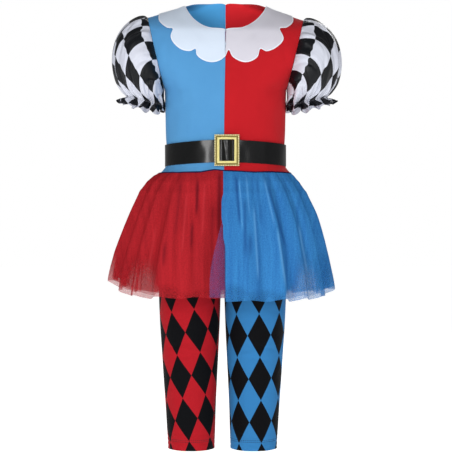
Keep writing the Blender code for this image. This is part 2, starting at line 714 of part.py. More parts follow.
def waistband():
    grid = []
    for row in BAND_ROWS:
        line = []
        for c in range(BAND_COLUMNS + 1):
            turn = 2 * math.pi * c / BAND_COLUMNS
            depth = row.front if math.cos(turn) > 0 else row.back
            line.append(Vector((row.half * math.sin(turn), -depth * math.cos(turn), row.z)))
        grid.append(line)
    cloth("legging_waistband", sheet_mesh(grid, lambda r: True), BAND_WALL, BLUE_KNIT)


bodice()
collar()
sleeves()
belt()
buckle()
skirt()
leggings()
waistband()
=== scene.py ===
"""A child's harlequin costume, filled out as if worn with nobody in it, dressed over its solids."""

import math
from collections import namedtuple

import bmesh
import bpy
import numpy as np
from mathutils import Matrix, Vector
from mathutils.bvhtree import BVHTree


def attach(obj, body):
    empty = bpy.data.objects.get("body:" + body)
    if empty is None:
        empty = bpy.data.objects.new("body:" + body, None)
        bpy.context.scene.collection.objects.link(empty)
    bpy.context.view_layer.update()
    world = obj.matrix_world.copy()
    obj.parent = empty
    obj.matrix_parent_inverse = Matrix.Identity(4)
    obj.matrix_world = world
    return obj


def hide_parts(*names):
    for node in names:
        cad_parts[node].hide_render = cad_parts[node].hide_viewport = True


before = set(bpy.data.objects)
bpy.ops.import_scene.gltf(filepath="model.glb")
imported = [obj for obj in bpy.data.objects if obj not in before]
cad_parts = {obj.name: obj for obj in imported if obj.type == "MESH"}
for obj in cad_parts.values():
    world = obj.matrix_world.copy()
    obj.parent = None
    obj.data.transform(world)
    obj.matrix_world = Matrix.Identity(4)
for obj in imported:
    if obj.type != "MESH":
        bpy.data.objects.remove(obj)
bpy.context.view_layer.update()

# The view is level from straight in front, at hip height, from two metres away. The floor is plain
# and pale, and the light is a bright, even room with soft lamps to the left, right, front and back,
# and two tall strip lamps that the belt mirrors.
camera_distance = 2.0
camera_height = -0.330
view_middle = 0.00075
view_width = 0.678
film_width = 36.0
floor_height = -0.760
floor_radius = 12.0
floor_glow = 0.89
room_strength = 0.24
white_light = (1, 1, 1, 1)


def wire(tree, made, inputs):
    """Sets a node's inputs by name or number: a socket is linked, anything else is the value."""
    for name, value in inputs.items():
        if isinstance(value, bpy.types.NodeSocket):
            tree.links.new(value, made.inputs[name])
        else:
            made.inputs[name].default_value = value


def node(tree, kind, inputs=None, **settings):
    """A new node of that kind, with its settings made first and then its inputs."""
    made = tree.nodes.new("ShaderNode" + kind)
    for name, value in settings.items():
        setattr(made, name, value)
    wire(tree, made, inputs or {})
    return made


camera_data = bpy.data.cameras.new("camera")
camera_data.sensor_width = film_width
camera_data.lens = film_width * camera_distance / view_width
camera = bpy.data.objects.new("camera", camera_data)
camera.location = (view_middle, -camera_distance, camera_height)
camera.rotation_euler = (math.radians(90), 0, 0)
bpy.context.scene.collection.objects.link(camera)
bpy.context.scene.camera = camera

bpy.ops.object.select_all(action="DESELECT")
bpy.ops.mesh.primitive_circle_add(
    vertices=64, radius=floor_radius, fill_type="NGON", location=(0, 0, floor_height)
)
floor = bpy.context.object
floor.name = "floor"
floor_paint = bpy.data.materials.new("floor_paint")
floor_paint.use_nodes = True
wire(floor_paint.node_tree, floor_paint.node_tree.nodes["Principled BSDF"], {
    "Base Color": (0.50, 0.50, 0.50, 1), "Roughness": 0.9, "Specular IOR Level": 0.1,
    "Emission Color": white_light, "Emission Strength": floor_glow,
})
floor.data.materials.append(floor_paint)

world = bpy.data.worlds.new("room")
bpy.context.scene.world = world
world.use_nodes = True
room = world.node_tree
lit = room.nodes["Background"]
wire(room, lit, {"Color": white_light, "Strength": room_strength})
seen = node(room, "Background", {"Color": white_light, "Strength": 1.0})
camera_ray = node(room, "LightPath").outputs["Is Camera Ray"]
room_pick = node(room, "MixShader", {0: camera_ray, 1: lit.outputs[0], 2: seen.outputs[0]})
wire(room, room.nodes["World Output"], {"Surface": room_pick.outputs[0]})

Lamp = namedtuple("Lamp", "name place wide tall watts")
for lamp in (
    Lamp("lamp_left", (-1.7, -2.2, 1.0), 1.2, 1.2, 8.0),
    Lamp("lamp_right", (2.0, -2.0, 0.8), 1.6, 1.4, 7.2),
    Lamp("lamp_front", (0.1, -2.6, 0.25), 0.5, 0.4, 12.5),
    Lamp("lamp_strip_left", (-0.80, -1.94, -0.25), 0.28, 1.1, 13.0),
    Lamp("lamp_strip_right", (0.66, -1.95, -0.25), 0.20, 1.1, 4.0),
    Lamp("lamp_back", (0.6, 2.4, 1.2), 1.4, 1.4, 34.0),
):
    light = bpy.data.lights.new(lamp.name, "AREA")
    light.shape = "RECTANGLE"
    light.size, light.size_y = lamp.wide, lamp.tall
    light.energy = lamp.watts
    stand = bpy.data.objects.new(lamp.name, light)
    stand.location = lamp.place
    stand.rotation_euler = (Vector((0, 0, -0.3)) - Vector(lamp.place)).to_track_quat("-Z", "Y").to_euler()
    bpy.context.scene.collection.objects.link(stand)
bpy.context.scene.view_settings.view_transform = "Standard"

# The bodice is four panels of matt brushed knit, blue on the wearer's right and red on the left,
# sewn down the middle, over the shoulders and at the sides. Each is a thin shell through the same
# sections as its solid, with the soft pulls that a worn knit shows at the armholes and the belt.
neck_half = 0.0605
shoulder_half = 0.116
chest_half = 0.091
underarm_z = -0.126
waist_z = -0.250
seam = 0.0003
roundness = 0.58
bodice_wall = 0.0010
BodiceRow = namedtuple("BodiceRow", "inner_x inner_y inner_z side side_z hole corner")
front_rows = [BodiceRow(*row) for row in (
    (0.0, 0.0710, waist_z, 0.0968, waist_z, 180.0, 1.00),
    (0.0, 0.0672, -0.240, 0.0894, -0.240, 180.0, 1.00),
    (0.0, 0.0664, -0.222, 0.0876, -0.222, 180.0, 1.00),
    (0.0, 0.0660, -0.196, 0.0892, -0.196, 180.0, 1.00),
    (0.0, 0.0668, -0.164, 0.0900, -0.162, 180.0, 1.00),
    (0.0, 0.0685, -0.134, chest_half, underarm_z, 180.0, 1.00),
    (0.0, 0.0670, -0.108, chest_half, underarm_z, 148.0, 0.96),
    (0.0, 0.0635, -0.084, chest_half, underarm_z, 118.0, 0.90),
    (0.0, 0.0575, -0.060, chest_half, underarm_z, 92.0, 0.84),
    (0.0, 0.0500, -0.0442, chest_half, underarm_z, 70.0, 0.76),
    (0.026, 0.0450, -0.0404, chest_half, underarm_z, 50.0, 0.66),
    (0.043, 0.0335, -0.0297, chest_half, underarm_z, 32.0, 0.58),
    (0.055, 0.0170, -0.0142, chest_half, underarm_z, 15.0, 0.52),
    (neck_half, 0.0, -0.001, chest_half, underarm_z, 0.0, 0.50),
)]
back_rows = [BodiceRow(*row) for row in (
    (0.0, 0.0660, waist_z, 0.0968, waist_z, 180.0, 1.00),
    (0.0, 0.0616, -0.240, 0.0894, -0.240, 180.0, 1.00),
    (0.0, 0.0602, -0.222, 0.0876, -0.222, 180.0, 1.00),
    (0.0, 0.0590, -0.196, 0.0892, -0.196, 180.0, 1.00),
    (0.0, 0.0610, -0.162, 0.0900, -0.162, 180.0, 1.00),
    (0.0, 0.0640, -0.128, chest_half, underarm_z, 180.0, 1.00),
    (0.0, 0.0650, -0.098, chest_half, underarm_z, 148.0, 0.96),
    (0.0, 0.0635, -0.070, chest_half, underarm_z, 118.0, 0.90),
    (0.0, 0.0580, -0.040, chest_half, underarm_z, 92.0, 0.84),
    (0.0, 0.0470, -0.012, chest_half, underarm_z, 68.0, 0.76),
    (0.0, 0.0380, 0.008, chest_half, underarm_z, 50.0, 0.68),
    (0.026, 0.0345, 0.0085, chest_half, underarm_z, 34.0, 0.60),
    (0.047, 0.0220, 0.0060, chest_half, underarm_z, 18.0, 0.54),
    (neck_half, 0.0, -0.001, chest_half, underarm_z, 0.0, 0.50),
)]
# A pull in the cloth, as seen from the front: its middle, half length, tilt in degrees from
# upright, width and depth. A negative depth is a ridge.
Pull = namedtuple("Pull", "x z long tilt wide deep")
pull_bend = 0.12
front_pulls = [Pull(*row) for row in (
    (-0.066, -0.140, 0.030, -38, 0.0070, 0.0012),
    (-0.058, -0.152, 0.024, -30, 0.0050, -0.0008),
    (-0.078, -0.176, 0.022, 8, 0.0055, 0.0008),
    (-0.030, -0.196, 0.016, 4, 0.0060, 0.0006),
    (-0.052, -0.192, 0.020, -6, 0.0050, -0.0006),
    (0.064, -0.138, 0.032, 40, 0.0070, 0.0012),
    (0.050, -0.158, 0.026, 30, 0.0060, -0.0008),
    (0.079, -0.182, 0.024, -8, 0.0055, 0.0009),
    (0.040, -0.194, 0.018, 2, 0.0055, 0.0006),
    (-0.040, -0.246, 0.012, 12, 0.0060, -0.0009),
    (-0.068, -0.246, 0.010, 20, 0.0050, 0.0008),
    (0.032, -0.246, 0.011, -8, 0.0060, 0.0008),
    (0.060, -0.245, 0.012, -16, 0.0060, -0.0009),
    (-0.086, -0.072, 0.022, 14, 0.0050, 0.0009),
    (0.087, -0.078, 0.024, -12, 0.0050, 0.0009),
)]
back_pulls = [Pull(*row) for row in (
    (-0.060, -0.120, 0.036, -34, 0.0080, 0.0013),
    (0.062, -0.124, 0.034, 36, 0.0080, 0.0013),
    (-0.020, -0.190, 0.024, -5, 0.0070, 0.0009),
    (0.028, -0.186, 0.026, 6, 0.0060, -0.0007),
    (-0.066, -0.190, 0.022, 10, 0.0060, 0.0008),
    (0.070, -0.194, 0.020, -10, 0.0060, 0.0009),
    (0.044, -0.246, 0.011, -8, 0.0060, 0.0008),
    (-0.050, -0.246, 0.011, 8, 0.0060, -0.0008),
    (-0.084, -0.060, 0.024, 16, 0.0050, 0.0009),
    (0.085, -0.066, 0.022, -14, 0.0050, 0.0009),
)]


def ramp(x, start, end):
    """0 before start, 1 after end, and a smooth rise between, for numbers and arrays."""
    t = np.clip((x - start) / (end - start), 0.0, 1.0)
    return t * t * (3.0 - 2.0 * t)


def through(rows, t):
    """The rows at t, from 0 at the first to 1 at the last, on a smooth curve, as one row of arrays."""
    table = np.array(rows)
    place = np.clip(np.asarray(t, float), 0.0, 1.0) * (len(table) - 1)
    at = np.minimum(place.astype(int), len(table) - 2)
    f = (place - at)[..., None]
    before, after = np.maximum(at - 1, 0), np.minimum(at + 2, len(table) - 1)
    value = (
        table[before] * (-f + 2 * f**2 - f**3)
        + table[at] * (2 - 5 * f**2 + 3 * f**3)
        + table[at + 1] * (f + 4 * f**2 - 3 * f**3)
        + table[after] * (f**3 - f**2)
    ) / 2
    return type(rows[0])(*np.moveaxis(value, -1, 0))


def quarter(start, corner, end, u):
    """Points on the round from start to end that leaves and arrives along the lines to corner."""
    first = start + roundness * (corner - start)
    second = end + roundness * (corner - end)
    v = 1.0 - u
    return v**3 * start + 3 * v * v * u * first + 3 * v * u * u * second + u**3 * end


def leaned(points):
    """The left shoulder and sleeve hang a little lower than the right."""
    points[..., 2] -= 0.004 * ramp(points[..., 0], 0.03, 0.12) * ramp(points[..., 2], -0.20, -0.04)
    return points


def ways_out(points):
    """The unit way out of a sheet at each of its points, turned by the caller where it points in."""
    across = np.cross(np.gradient(points, axis=0), np.gradient(points, axis=1))
    return across / np.maximum(np.linalg.norm(across, axis=-1, keepdims=True), 1e-12)


def crease_shape(across, along, wide, long):
    """How deep a crease is, from 0 to 1: round from side to side, and fading out at its ends."""
    return np.exp(-((across / wide) ** 2)) * np.exp(-((along / long) ** 4))


def pulled(points, out, pulls):
    """Moves the points in or out along the pulls, which are placed by x and z."""
    move = np.zeros(points.shape[:2])
    for pull in pulls:
        tilt = math.radians(pull.tilt)
        dx, dz = points[..., 0] - pull.x, points[..., 2] - pull.z
        along = dx * math.sin(tilt) + dz * math.cos(tilt)
        across = dx * math.cos(tilt) - dz * math.sin(tilt)
        bent = across - pull_bend * along**2 / pull.long
        move -= pull.deep * crease_shape(bent, along, pull.wide, pull.long)
    return points + out * move[..., None]


def sheet_piece(name, points, uv, wall, middle, mark=None):
    """A named cloth piece through a grid of points, with its cut as UV in metres, and a thin wall.

    Columns that meet are joined. The faces point away from the upright line through middle. mark
    is a grid of one or two more numbers for the material, kept as a second map of that name.
    """
    rows, columns = points.shape[:2]
    r, c = np.meshgrid(np.arange(rows - 1), np.arange(columns - 1), indexing="ij")
    here = (r * columns + c).reshape(-1)
    faces = np.stack([here, here + 1, here + columns + 1, here + columns], axis=1)
    flat = points.reshape(-1, 3)
    a, b, d = flat[faces[:, 0]], flat[faces[:, 1]], flat[faces[:, 3]]
    out = (a - np.array([middle[0], middle[1], 0.0])) * np.array([1.0, 1.0, 0.0])
    if (np.cross(b - a, d - a) * out).sum() < 0:
        faces = faces[:, ::-1]
    mesh = bpy.data.meshes.new(name)
    mesh.from_pydata(flat.tolist(), [], faces.tolist())
    layer = mesh.uv_layers.new(name="cut")
    layer.data.foreach_set("uv", uv.reshape(-1, 2)[faces.reshape(-1)].reshape(-1).astype(np.float32))
    if mark is not None:
        marks = mark if mark.ndim == 3 else np.stack([mark, 0 * mark], axis=-1)
        marks = marks.reshape(-1, 2)[faces.reshape(-1)]
        mesh.uv_layers.new(name="mark").data.foreach_set("uv", marks.reshape(-1).astype(np.float32))
    work = bmesh.new()
    work.from_mesh(mesh)
    bmesh.ops.remove_doubles(work, verts=work.verts[:], dist=1e-6)
    work.to_mesh(mesh)
    work.free()
    piece = bpy.data.objects.new(name, mesh)
    bpy.context.scene.collection.objects.link(piece)
    bpy.context.view_layer.objects.active = piece
    if wall:
        thick = piece.modifiers.new("wall", "SOLIDIFY")
        thick.thickness = wall
        thick.offset = -1.0
        bpy.ops.object.modifier_apply(modifier="wall")
    mesh.shade_smooth()
    mesh.set_sharp_from_angle(angle=math.radians(55))
    return piece


def armhole(degrees):
    """The armhole's edge on the left front, an oval from the shoulder down to the underarm."""
    shoulder = np.array([shoulder_half, 0.0, -0.018])
    underarm = np.array([chest_half, 0.0, underarm_z])
    turn = np.radians(degrees)[..., None]
    oval = (shoulder + underarm) / 2 + (shoulder - underarm) / 2 * np.cos(turn)
    return oval + np.array([0.0, -0.046, 0.0]) * np.sin(turn)


def bodice_points(rows, side, facing, t, u):
    t, u = np.meshgrid(t, u, indexing="ij")
    row = through(rows, t)
    edge = armhole(row.hole)
    low = ramp(-row.side_z, -underarm_z, -underarm_z + 0.004)[..., None]
    edge = edge * (1 - low) + low * np.stack([row.side, 0 * row.side, row.side_z], axis=-1)
    turn_x = row.inner_x + row.corner * (edge[..., 0] - row.inner_x)
    x = quarter(row.inner_x, turn_x, edge[..., 0], u)
    y = quarter(row.inner_y, row.inner_y, -edge[..., 1], u)
    z = row.inner_z + (edge[..., 2] - row.inner_z) * u
    return leaned(np.stack([side * np.maximum(x, seam / 2), facing * np.maximum(y, seam / 2), z], axis=-1))


# The waist seam rides up and down a little where the skirt's gathers pull on it: x and height.
waist_front = [(-0.093, 0.0), (-0.072, -0.0006), (-0.036, -0.0006), (-0.015, 0.0028), (0.0, 0.0014),
               (0.043, -0.0006), (0.064, 0.0001), (0.093, 0.0)]
waist_back = [(-0.093, 0.0), (-0.060, 0.0008), (-0.030, -0.0006), (0.0, 0.0012), (0.034, -0.0007),
              (0.062, 0.0007), (0.093, 0.0)]


def seam_wave(x, y):
    """How far the waist seam rides up or down at a place, for the panels and the skirt alike."""
    ahead, behind = np.array(waist_front), np.array(waist_back)
    return np.where(
        y < 0, np.interp(x, ahead[:, 0], ahead[:, 1]), np.interp(x, behind[:, 0], behind[:, 1])
    )


def cut_of(points):
    """The flat cut of a sheet: metres along its rows and up its columns."""
    along = np.linalg.norm(np.diff(points, axis=1), axis=-1).cumsum(axis=1)
    up = np.linalg.norm(np.diff(points, axis=0), axis=-1).cumsum(axis=0)
    along = np.pad(along, ((0, 0), (1, 0)))
    up = np.pad(up, ((1, 0), (0, 0)))
    return np.stack([along, up], axis=-1)


def maths(tree, operation, *values, **settings):
    """The result of a maths node on numbers and sockets."""
    return node(tree, "Math", dict(enumerate(values)), operation=operation, **settings).outputs[0]


def noise(tree, place, scale, detail=2.0, distortion=0.0):
    """The grey of a noise texture at place."""
    inputs = {"Vector": place, "Scale": scale, "Detail": detail, "Distortion": distortion}
    return node(tree, "TexNoise", inputs).outputs["Fac"]


def stretched(tree, place, scales):
    """The place with its X and Y scaled, so that what is drawn there is drawn out."""
    return node(tree, "Mapping", {"Vector": place, "Scale": (*scales, 1)}).outputs[0]


def mapped(tree, value, start, end, low=0.0, high=1.0, **settings):
    """Value with start to end taken to low to high, and held at those beyond them."""
    inputs = {"Value": value, "From Min": start, "From Max": end, "To Min": low, "To Max": high}
    return node(tree, "MapRange", inputs, **settings).outputs["Result"]


def axes(tree, place):
    """The X, Y and Z of a place, as sockets."""
    return node(tree, "SeparateXYZ", {0: place}).outputs


def mixed(tree, factor, first, second):
    """From first to second as factor goes from 0 to 1. Each of the two is a colour or a socket."""
    ends = [end if isinstance(end, bpy.types.NodeSocket) else (*end, 1) for end in (first, second)]
    inputs = {"Factor": factor, "A": ends[0], "B": ends[1]}
    return node(tree, "Mix", inputs, data_type="RGBA").outputs["Result"]


def plain_cloth(name, colour, roughness, sheen=0.0, gloss=0.12):
    """A cloth material whose shader has its constant sockets set, with its place on the cut."""
    cloth = bpy.data.materials.new(name)
    cloth.use_nodes = True
    tree = cloth.node_tree
    wire(tree, tree.nodes["Principled BSDF"], {
        "Base Color": (*colour, 1), "Roughness": roughness, "Specular IOR Level": gloss,
        "Sheen Weight": sheen, "Sheen Roughness": 0.45,
    })
    node(tree, "UVMap", name="cut", uv_map="cut")
    return cloth


def parts_of(cloth):
    """A cloth's node tree, its shader and the socket of its place on the cut."""
    tree = cloth.node_tree
    return tree, tree.nodes["Principled BSDF"], tree.nodes["cut"].outputs[0]


def add_relief(cloth, height, strength, depth):
    """Relief over what the shader has."""
    tree, shader, _ = parts_of(cloth)
    inputs = {"Height": height, "Strength": strength, "Distance": depth}
    for link in shader.inputs["Normal"].links:
        inputs["Normal"] = link.from_socket
    wire(tree, shader, {"Normal": node(tree, "Bump", inputs).outputs[0]})


def add_knit(cloth, pitch, depth):
    """Fine rows of knitted loops as relief, from two waves at right angles with a little noise."""
    tree, _, place = parts_of(cloth)
    size = stretched(tree, place, (1 / pitch, 1.35 / pitch))
    wave = {"Vector": size, "Scale": 0.3142, "Distortion": 0.6}
    wales, courses = [
        node(tree, "TexWave", wave, wave_type="BANDS", bands_direction=way).outputs["Fac"] for way in "XY"
    ]
    loops = maths(tree, "MULTIPLY", wales, courses)
    nap = maths(tree, "MULTIPLY_ADD", noise(tree, size, 2.6), 0.5, loops)
    add_relief(cloth, nap, 0.55, depth)
    return nap


def add_wrinkles(cloth, scales, depth):
    """Faint uneven wrinkles as relief, from stretched noise."""
    tree, _, place = parts_of(cloth)
    add_relief(cloth, noise(tree, stretched(tree, place, scales), 1.0, distortion=0.8), 0.7, depth)


def add_stitches(cloth, rows, pitch, colour):
    """Rows of short sewn stitches across the sheet, each at a height of the cut, over its colour."""
    tree, shader, place = parts_of(cloth)
    tone = shader.inputs["Base Color"].links[0].from_socket
    axis = axes(tree, place)
    drawn = maths(tree, "GREATER_THAN", maths(tree, "PINGPONG", axis["X"], pitch / 2), 0.16 * pitch)
    for height in rows:
        in_row = maths(tree, "COMPARE", axis["Y"], height, thread_half)
        tone = mixed(tree, maths(tree, "MULTIPLY", drawn, in_row), tone, colour)
    wire(tree, shader, {"Base Color": tone})


def knit(name, colour, shade):
    """Matt knit: the gaps between the loops painted a little darker, as shade in their hollows, and faint
    broad changes of tone.
    """
    cloth = plain_cloth(name, colour, 0.9, sheen=0.04)
    tree, shader, place = parts_of(cloth)
    fine = maths(tree, "MULTIPLY", add_knit(cloth, 0.0011, 0.00025), 0.45)
    tone = maths(tree, "MULTIPLY_ADD", noise(tree, place, 28.0, 3.0), 0.55, fine)
    wire(tree, shader, {"Base Color": mixed(tree, tone, shade, colour)})
    return cloth


thread_half = 0.00032
blue = (0.092, 0.308, 0.575)
blue_shade = (0.066, 0.240, 0.495)
red = (0.500, 0.0105, 0.016)
red_shade = (0.405, 0.008, 0.0135)
blue_knit = knit("blue_knit", blue, blue_shade)
red_knit = knit("red_knit", red, red_shade)
# The inner side of the panels, which shows inside the neck, gets brighter copies of the knit colours:
# painted light, standing in for the light that reaches in there.
blue_inside_painted_light = knit("blue_knit_inside_painted_light", (0.110, 0.500, 0.960), (0.080, 0.400, 0.830))
red_inside_painted_light = knit("red_knit_inside_painted_light", (0.860, 0.024, 0.034), (0.720, 0.019, 0.028))
for cloth in (blue_knit, red_knit, blue_inside_painted_light, red_inside_painted_light):
    add_wrinkles(cloth, (20.0, 16.0), 0.0030)
bodice_t = np.linspace(0, 1, 79)
bodice_u = np.linspace(0, 1, 49)
bodice_skin = {}
for name, rows, side, facing, cloth, pulls, size in (
    ("bodice_front_blue", front_rows, -1, -1, blue_knit, front_pulls, (0.128, 0.252)),
    ("bodice_front_red", front_rows, 1, -1, red_knit, front_pulls, (0.128, 0.252)),
    ("bodice_back_blue", back_rows, -1, 1, blue_knit, back_pulls, (0.126, 0.262)),
    ("bodice_back_red", back_rows, 1, 1, red_knit, back_pulls, (0.126, 0.262)),
):
    points = bodice_points(rows, side, facing, bodice_t, bodice_u)
    out = ways_out(points)
    out *= -1 if (out[..., 1] * facing).sum() < 0 else 1
    edge = ramp(bodice_u, 0.0, 0.06)[None, :] * (1 - ramp(bodice_u, 0.92, 1.0))[None, :]
    moved = pulled(points, out, pulls) - points
    points = points + moved * edge[..., None]
    points[..., 2] += seam_wave(points[..., 0], points[..., 1]) * ramp(-points[..., 2], 0.236, 0.250)
    if facing < 0:
        by_seam = np.exp(-((points[..., 0] / 0.04) ** 2))
        points[..., 0] -= 0.0019 * ramp(-points[..., 2], 0.05, 0.20) * by_seam
    bodice_skin[name] = points
    panel = sheet_piece("knit_" + name, points, cut_of(points), bodice_wall, (0, 0))
    panel.data.materials.append(cloth)
    # The inner faces take the brighter copy: painted light inside the neck.
    panel.data.materials.append(blue_inside_painted_light if side < 0 else red_inside_painted_light)
    skin_faces = (len(bodice_t) - 1) * (len(bodice_u) - 1)
    for face in panel.data.polygons[skin_faces:2 * skin_faces]:
        face.material_index = 1
    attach(panel, "root")
    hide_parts(name)

# The collar is a flat scalloped one in two halves of white cloth, turned in along its edge and
# caught in the neck seam. Each half lies on the fine front panels, lifted by about a millimetre,
# and stands off a little more where it rolls over the neckline.
collar_wall = 0.0009
collar_off = 0.0009
collar_roll = 0.0012
collar_gap = 0.00004
well_outside = 0.3
Scallop = namedtuple("Scallop", "degrees reach")
collar_edge_right = [Scallop(*row) for row in (
    (0.0, 0.0837),
    (5.5, 0.0905),
    (12.3, 0.0946),
    (20.0, 0.0948),
    (27.0, 0.0915),
    (31.0, 0.0845),
    (34.5, 0.0915),
    (41.0, 0.0968),
    (49.0, 0.0985),
    (56.5, 0.0960),
    (61.9, 0.0878),
    (66.0, 0.0950),
    (74.5, 0.1018),
    (82.2, 0.0998),
)]
collar_edge_left = [Scallop(*row) for row in (
    (0.0, 0.0837),
    (3.7, 0.0745),
    (7.5, 0.0860),
    (17.5, 0.0968),
    (28.0, 0.0965),
    (35.0, 0.0880),
    (39.0, 0.0960),
    (48.0, 0.1005),
    (57.5, 0.1003),
    (64.0, 0.0887),
    (69.0, 0.0975),
    (76.0, 0.1030),
    (82.2, 0.1000),
)]


def surface_of(sheets):
    """One surface to lay things on, from grids of points."""
    points, faces = [], []
    for sheet in sheets:
        rows, columns = sheet.shape[:2]
        base = len(points)
        points.extend(map(Vector, sheet.reshape(-1, 3).tolist()))
        for r in range(rows - 1):
            for c in range(columns - 1):
                at = base + r * columns + c
                faces.append((at, at + 1, at + columns + 1, at + columns))
    return BVHTree.FromPolygons(points, faces)


def collar_points(side, scallops, skin):
    u = np.linspace(0, 1, 121)
    f = np.linspace(0, 1, 17)
    first = 9 / (len(front_rows) - 1)
    edge = bodice_points(front_rows, 1, -1, first + (1 - first) * u, np.zeros(1))[:, 0]
    scallop = through(scallops, u)
    turn = np.radians(scallop.degrees)
    outer_x, outer_z = scallop.reach * np.sin(turn), -scallop.reach * np.cos(turn)
    lines = np.zeros((len(f), len(u), 3))
    for r, share in enumerate(f):
        for c in range(len(u)):
            if r == 0:
                lines[r, c] = (side * edge[c, 0], edge[c, 1], edge[c, 2])
                continue
            x = side * max(edge[c, 0] * (1 - share) + outer_x[c] * share, collar_gap)
            flat = np.array([x, 0.0, edge[c, 2] * (1 - share) + outer_z[c] * share])
            z = leaned(flat)[2]
            place = skin.ray_cast(Vector((x, -well_outside, z)), Vector((0, 1, 0)))[0]
            lines[r, c] = place or skin.find_nearest(Vector((x, -0.01, z)))[0]
    return lines, f


white_rim = (0.75, 0.79, 0.86)
front_skin = surface_of([bodice_skin["bodice_front_blue"], bodice_skin["bodice_front_red"]])
# Each half's white carries a tint of the panel beneath it, blue on the right half and pink on the left:
# painted light, standing in for light coming through the thin cloth from the panel.
for name, side, scallops, white, white_shade in (
    ("collar_right", -1, collar_edge_right, (0.66, 0.745, 0.860), (0.59, 0.675, 0.800)),
    ("collar_left", 1, collar_edge_left, (0.650, 0.635, 0.700), (0.580, 0.565, 0.635)),
):
    points, share = collar_points(side, scallops, front_skin)
    cut = cut_of(points)
    out = ways_out(points)
    out *= -1 if out[..., 1].sum() > 0 else 1
    roll = collar_roll * (1 - ramp(share, 0.0, 0.35))
    points = points + out * (collar_off + collar_wall + roll)[:, None, None]
    points[..., 0] = side * np.maximum(side * points[..., 0], collar_gap)
    from_edge = np.minimum(cut[..., 1], cut[-1:, :, 1] - cut[..., 1])
    from_edge = np.minimum(from_edge, cut[:, -1:, 0] - cut[..., 0])
    cloth = knit("white_" + name, white, white_shade)
    tree, shader, _ = parts_of(cloth)
    from_rim = axes(tree, node(tree, "UVMap", uv_map="mark").outputs[0])["X"]
    fold_in = mapped(tree, from_rim, 0.0014, 0.0021, interpolation_type="SMOOTHSTEP")
    flat_white = shader.inputs["Base Color"].links[0].from_socket
    wire(tree, shader, {"Base Color": mixed(tree, fold_in, white_rim, flat_white)})
    half = sheet_piece("white_" + name, points, cut, collar_wall, (0, 0), from_edge)
    half.data.materials.append(cloth)
    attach(half, "root")
    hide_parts(name)

# The sleeves are short puffs of thin satin printed with black and white diamonds, gathered into
# the armhole and again by a sewn elastic a little above the hem, which leaves a small frill.
# Each is one shell through the rings of its solid, with finer gathers and creases placed one by one.
sleeve_wall = 0.0007
SleeveRing = namedtuple("SleeveRing", "outer_x outer_z inner_x inner_z depth waves dip")
sleeve_rings = [SleeveRing(*row) for row in (
    (0.1164, -0.0178, 0.0916, -0.1264, 0.0462, 0.0000, 0.0000),
    (0.1210, -0.0170, 0.0920, -0.1288, 0.0500, 0.0014, 0.0000),
    (0.1300, -0.0184, 0.0921, -0.1312, 0.0545, 0.0018, 0.0000),
    (0.1420, -0.0240, 0.0921, -0.1336, 0.0585, 0.0014, 0.0000),
    (0.1535, -0.0342, 0.0921, -0.1358, 0.0605, 0.0012, 0.0000),
    (0.1630, -0.0500, 0.0921, -0.1380, 0.0600, 0.0012, 0.0000),
    (0.1680, -0.0710, 0.0921, -0.1400, 0.0565, 0.0014, 0.0000),
    (0.1675, -0.0930, 0.0921, -0.1420, 0.0505, 0.0020, 0.0000),
    (0.1615, -0.1150, 0.0921, -0.1444, 0.0425, 0.0026, 0.0010),
    (0.1525, -0.1295, 0.0922, -0.1465, 0.0345, 0.0024, 0.0015),
    (0.1470, -0.1362, 0.0922, -0.1490, 0.0300, 0.0012, 0.0015),
    (0.1515, -0.1390, 0.0922, -0.1535, 0.0325, 0.0030, 0.0020),
    (0.1570, -0.1425, 0.0922, -0.1580, 0.0365, 0.0048, 0.0030),
)]
sleeve_waves = 11
left_reach = 1.075
sleeve_diamonds = 10
sleeve_diamond_wide = 0.0340
sleeve_diamond_tall = 0.0588
sleeve_print_up = 0.0725
elastic_t = 10 / 12
# A crease in a sleeve: where it is round the sleeve in turns from the outside edge by way of the
# front, how far down from 0 to 1, its half length down, its slant in turns, and its width in turns.
# All their depths are then multiplied by crease_depth.
crease_depth = 1.9
Crease = namedtuple("Crease", "turn down long slant wide deep")
sleeve_creases = [Crease(*row) for row in (
    (0.10, 0.30, 0.16, 0.03, 0.010, 0.0012),
    (0.16, 0.26, 0.20, -0.02, 0.008, -0.0010),
    (0.21, 0.62, 0.16, 0.02, 0.011, 0.0014),
    (0.27, 0.30, 0.18, -0.03, 0.009, 0.0012),
    (0.31, 0.64, 0.14, -0.02, 0.010, -0.0012),
    (0.36, 0.34, 0.16, -0.04, 0.009, 0.0013),
    (0.41, 0.60, 0.16, -0.03, 0.010, 0.0012),
    (0.05, 0.62, 0.15, 0.01, 0.010, 0.0013),
    (0.95, 0.34, 0.16, -0.02, 0.010, 0.0011),
    (0.88, 0.60, 0.17, 0.03, 0.009, -0.0011),
    (0.80, 0.30, 0.18, 0.02, 0.010, 0.0013),
    (0.74, 0.62, 0.15, -0.02, 0.010, 0.0013),
    (0.67, 0.32, 0.17, 0.03, 0.009, 0.0012),
    (0.60, 0.58, 0.16, 0.02, 0.010, -0.0011),
)]


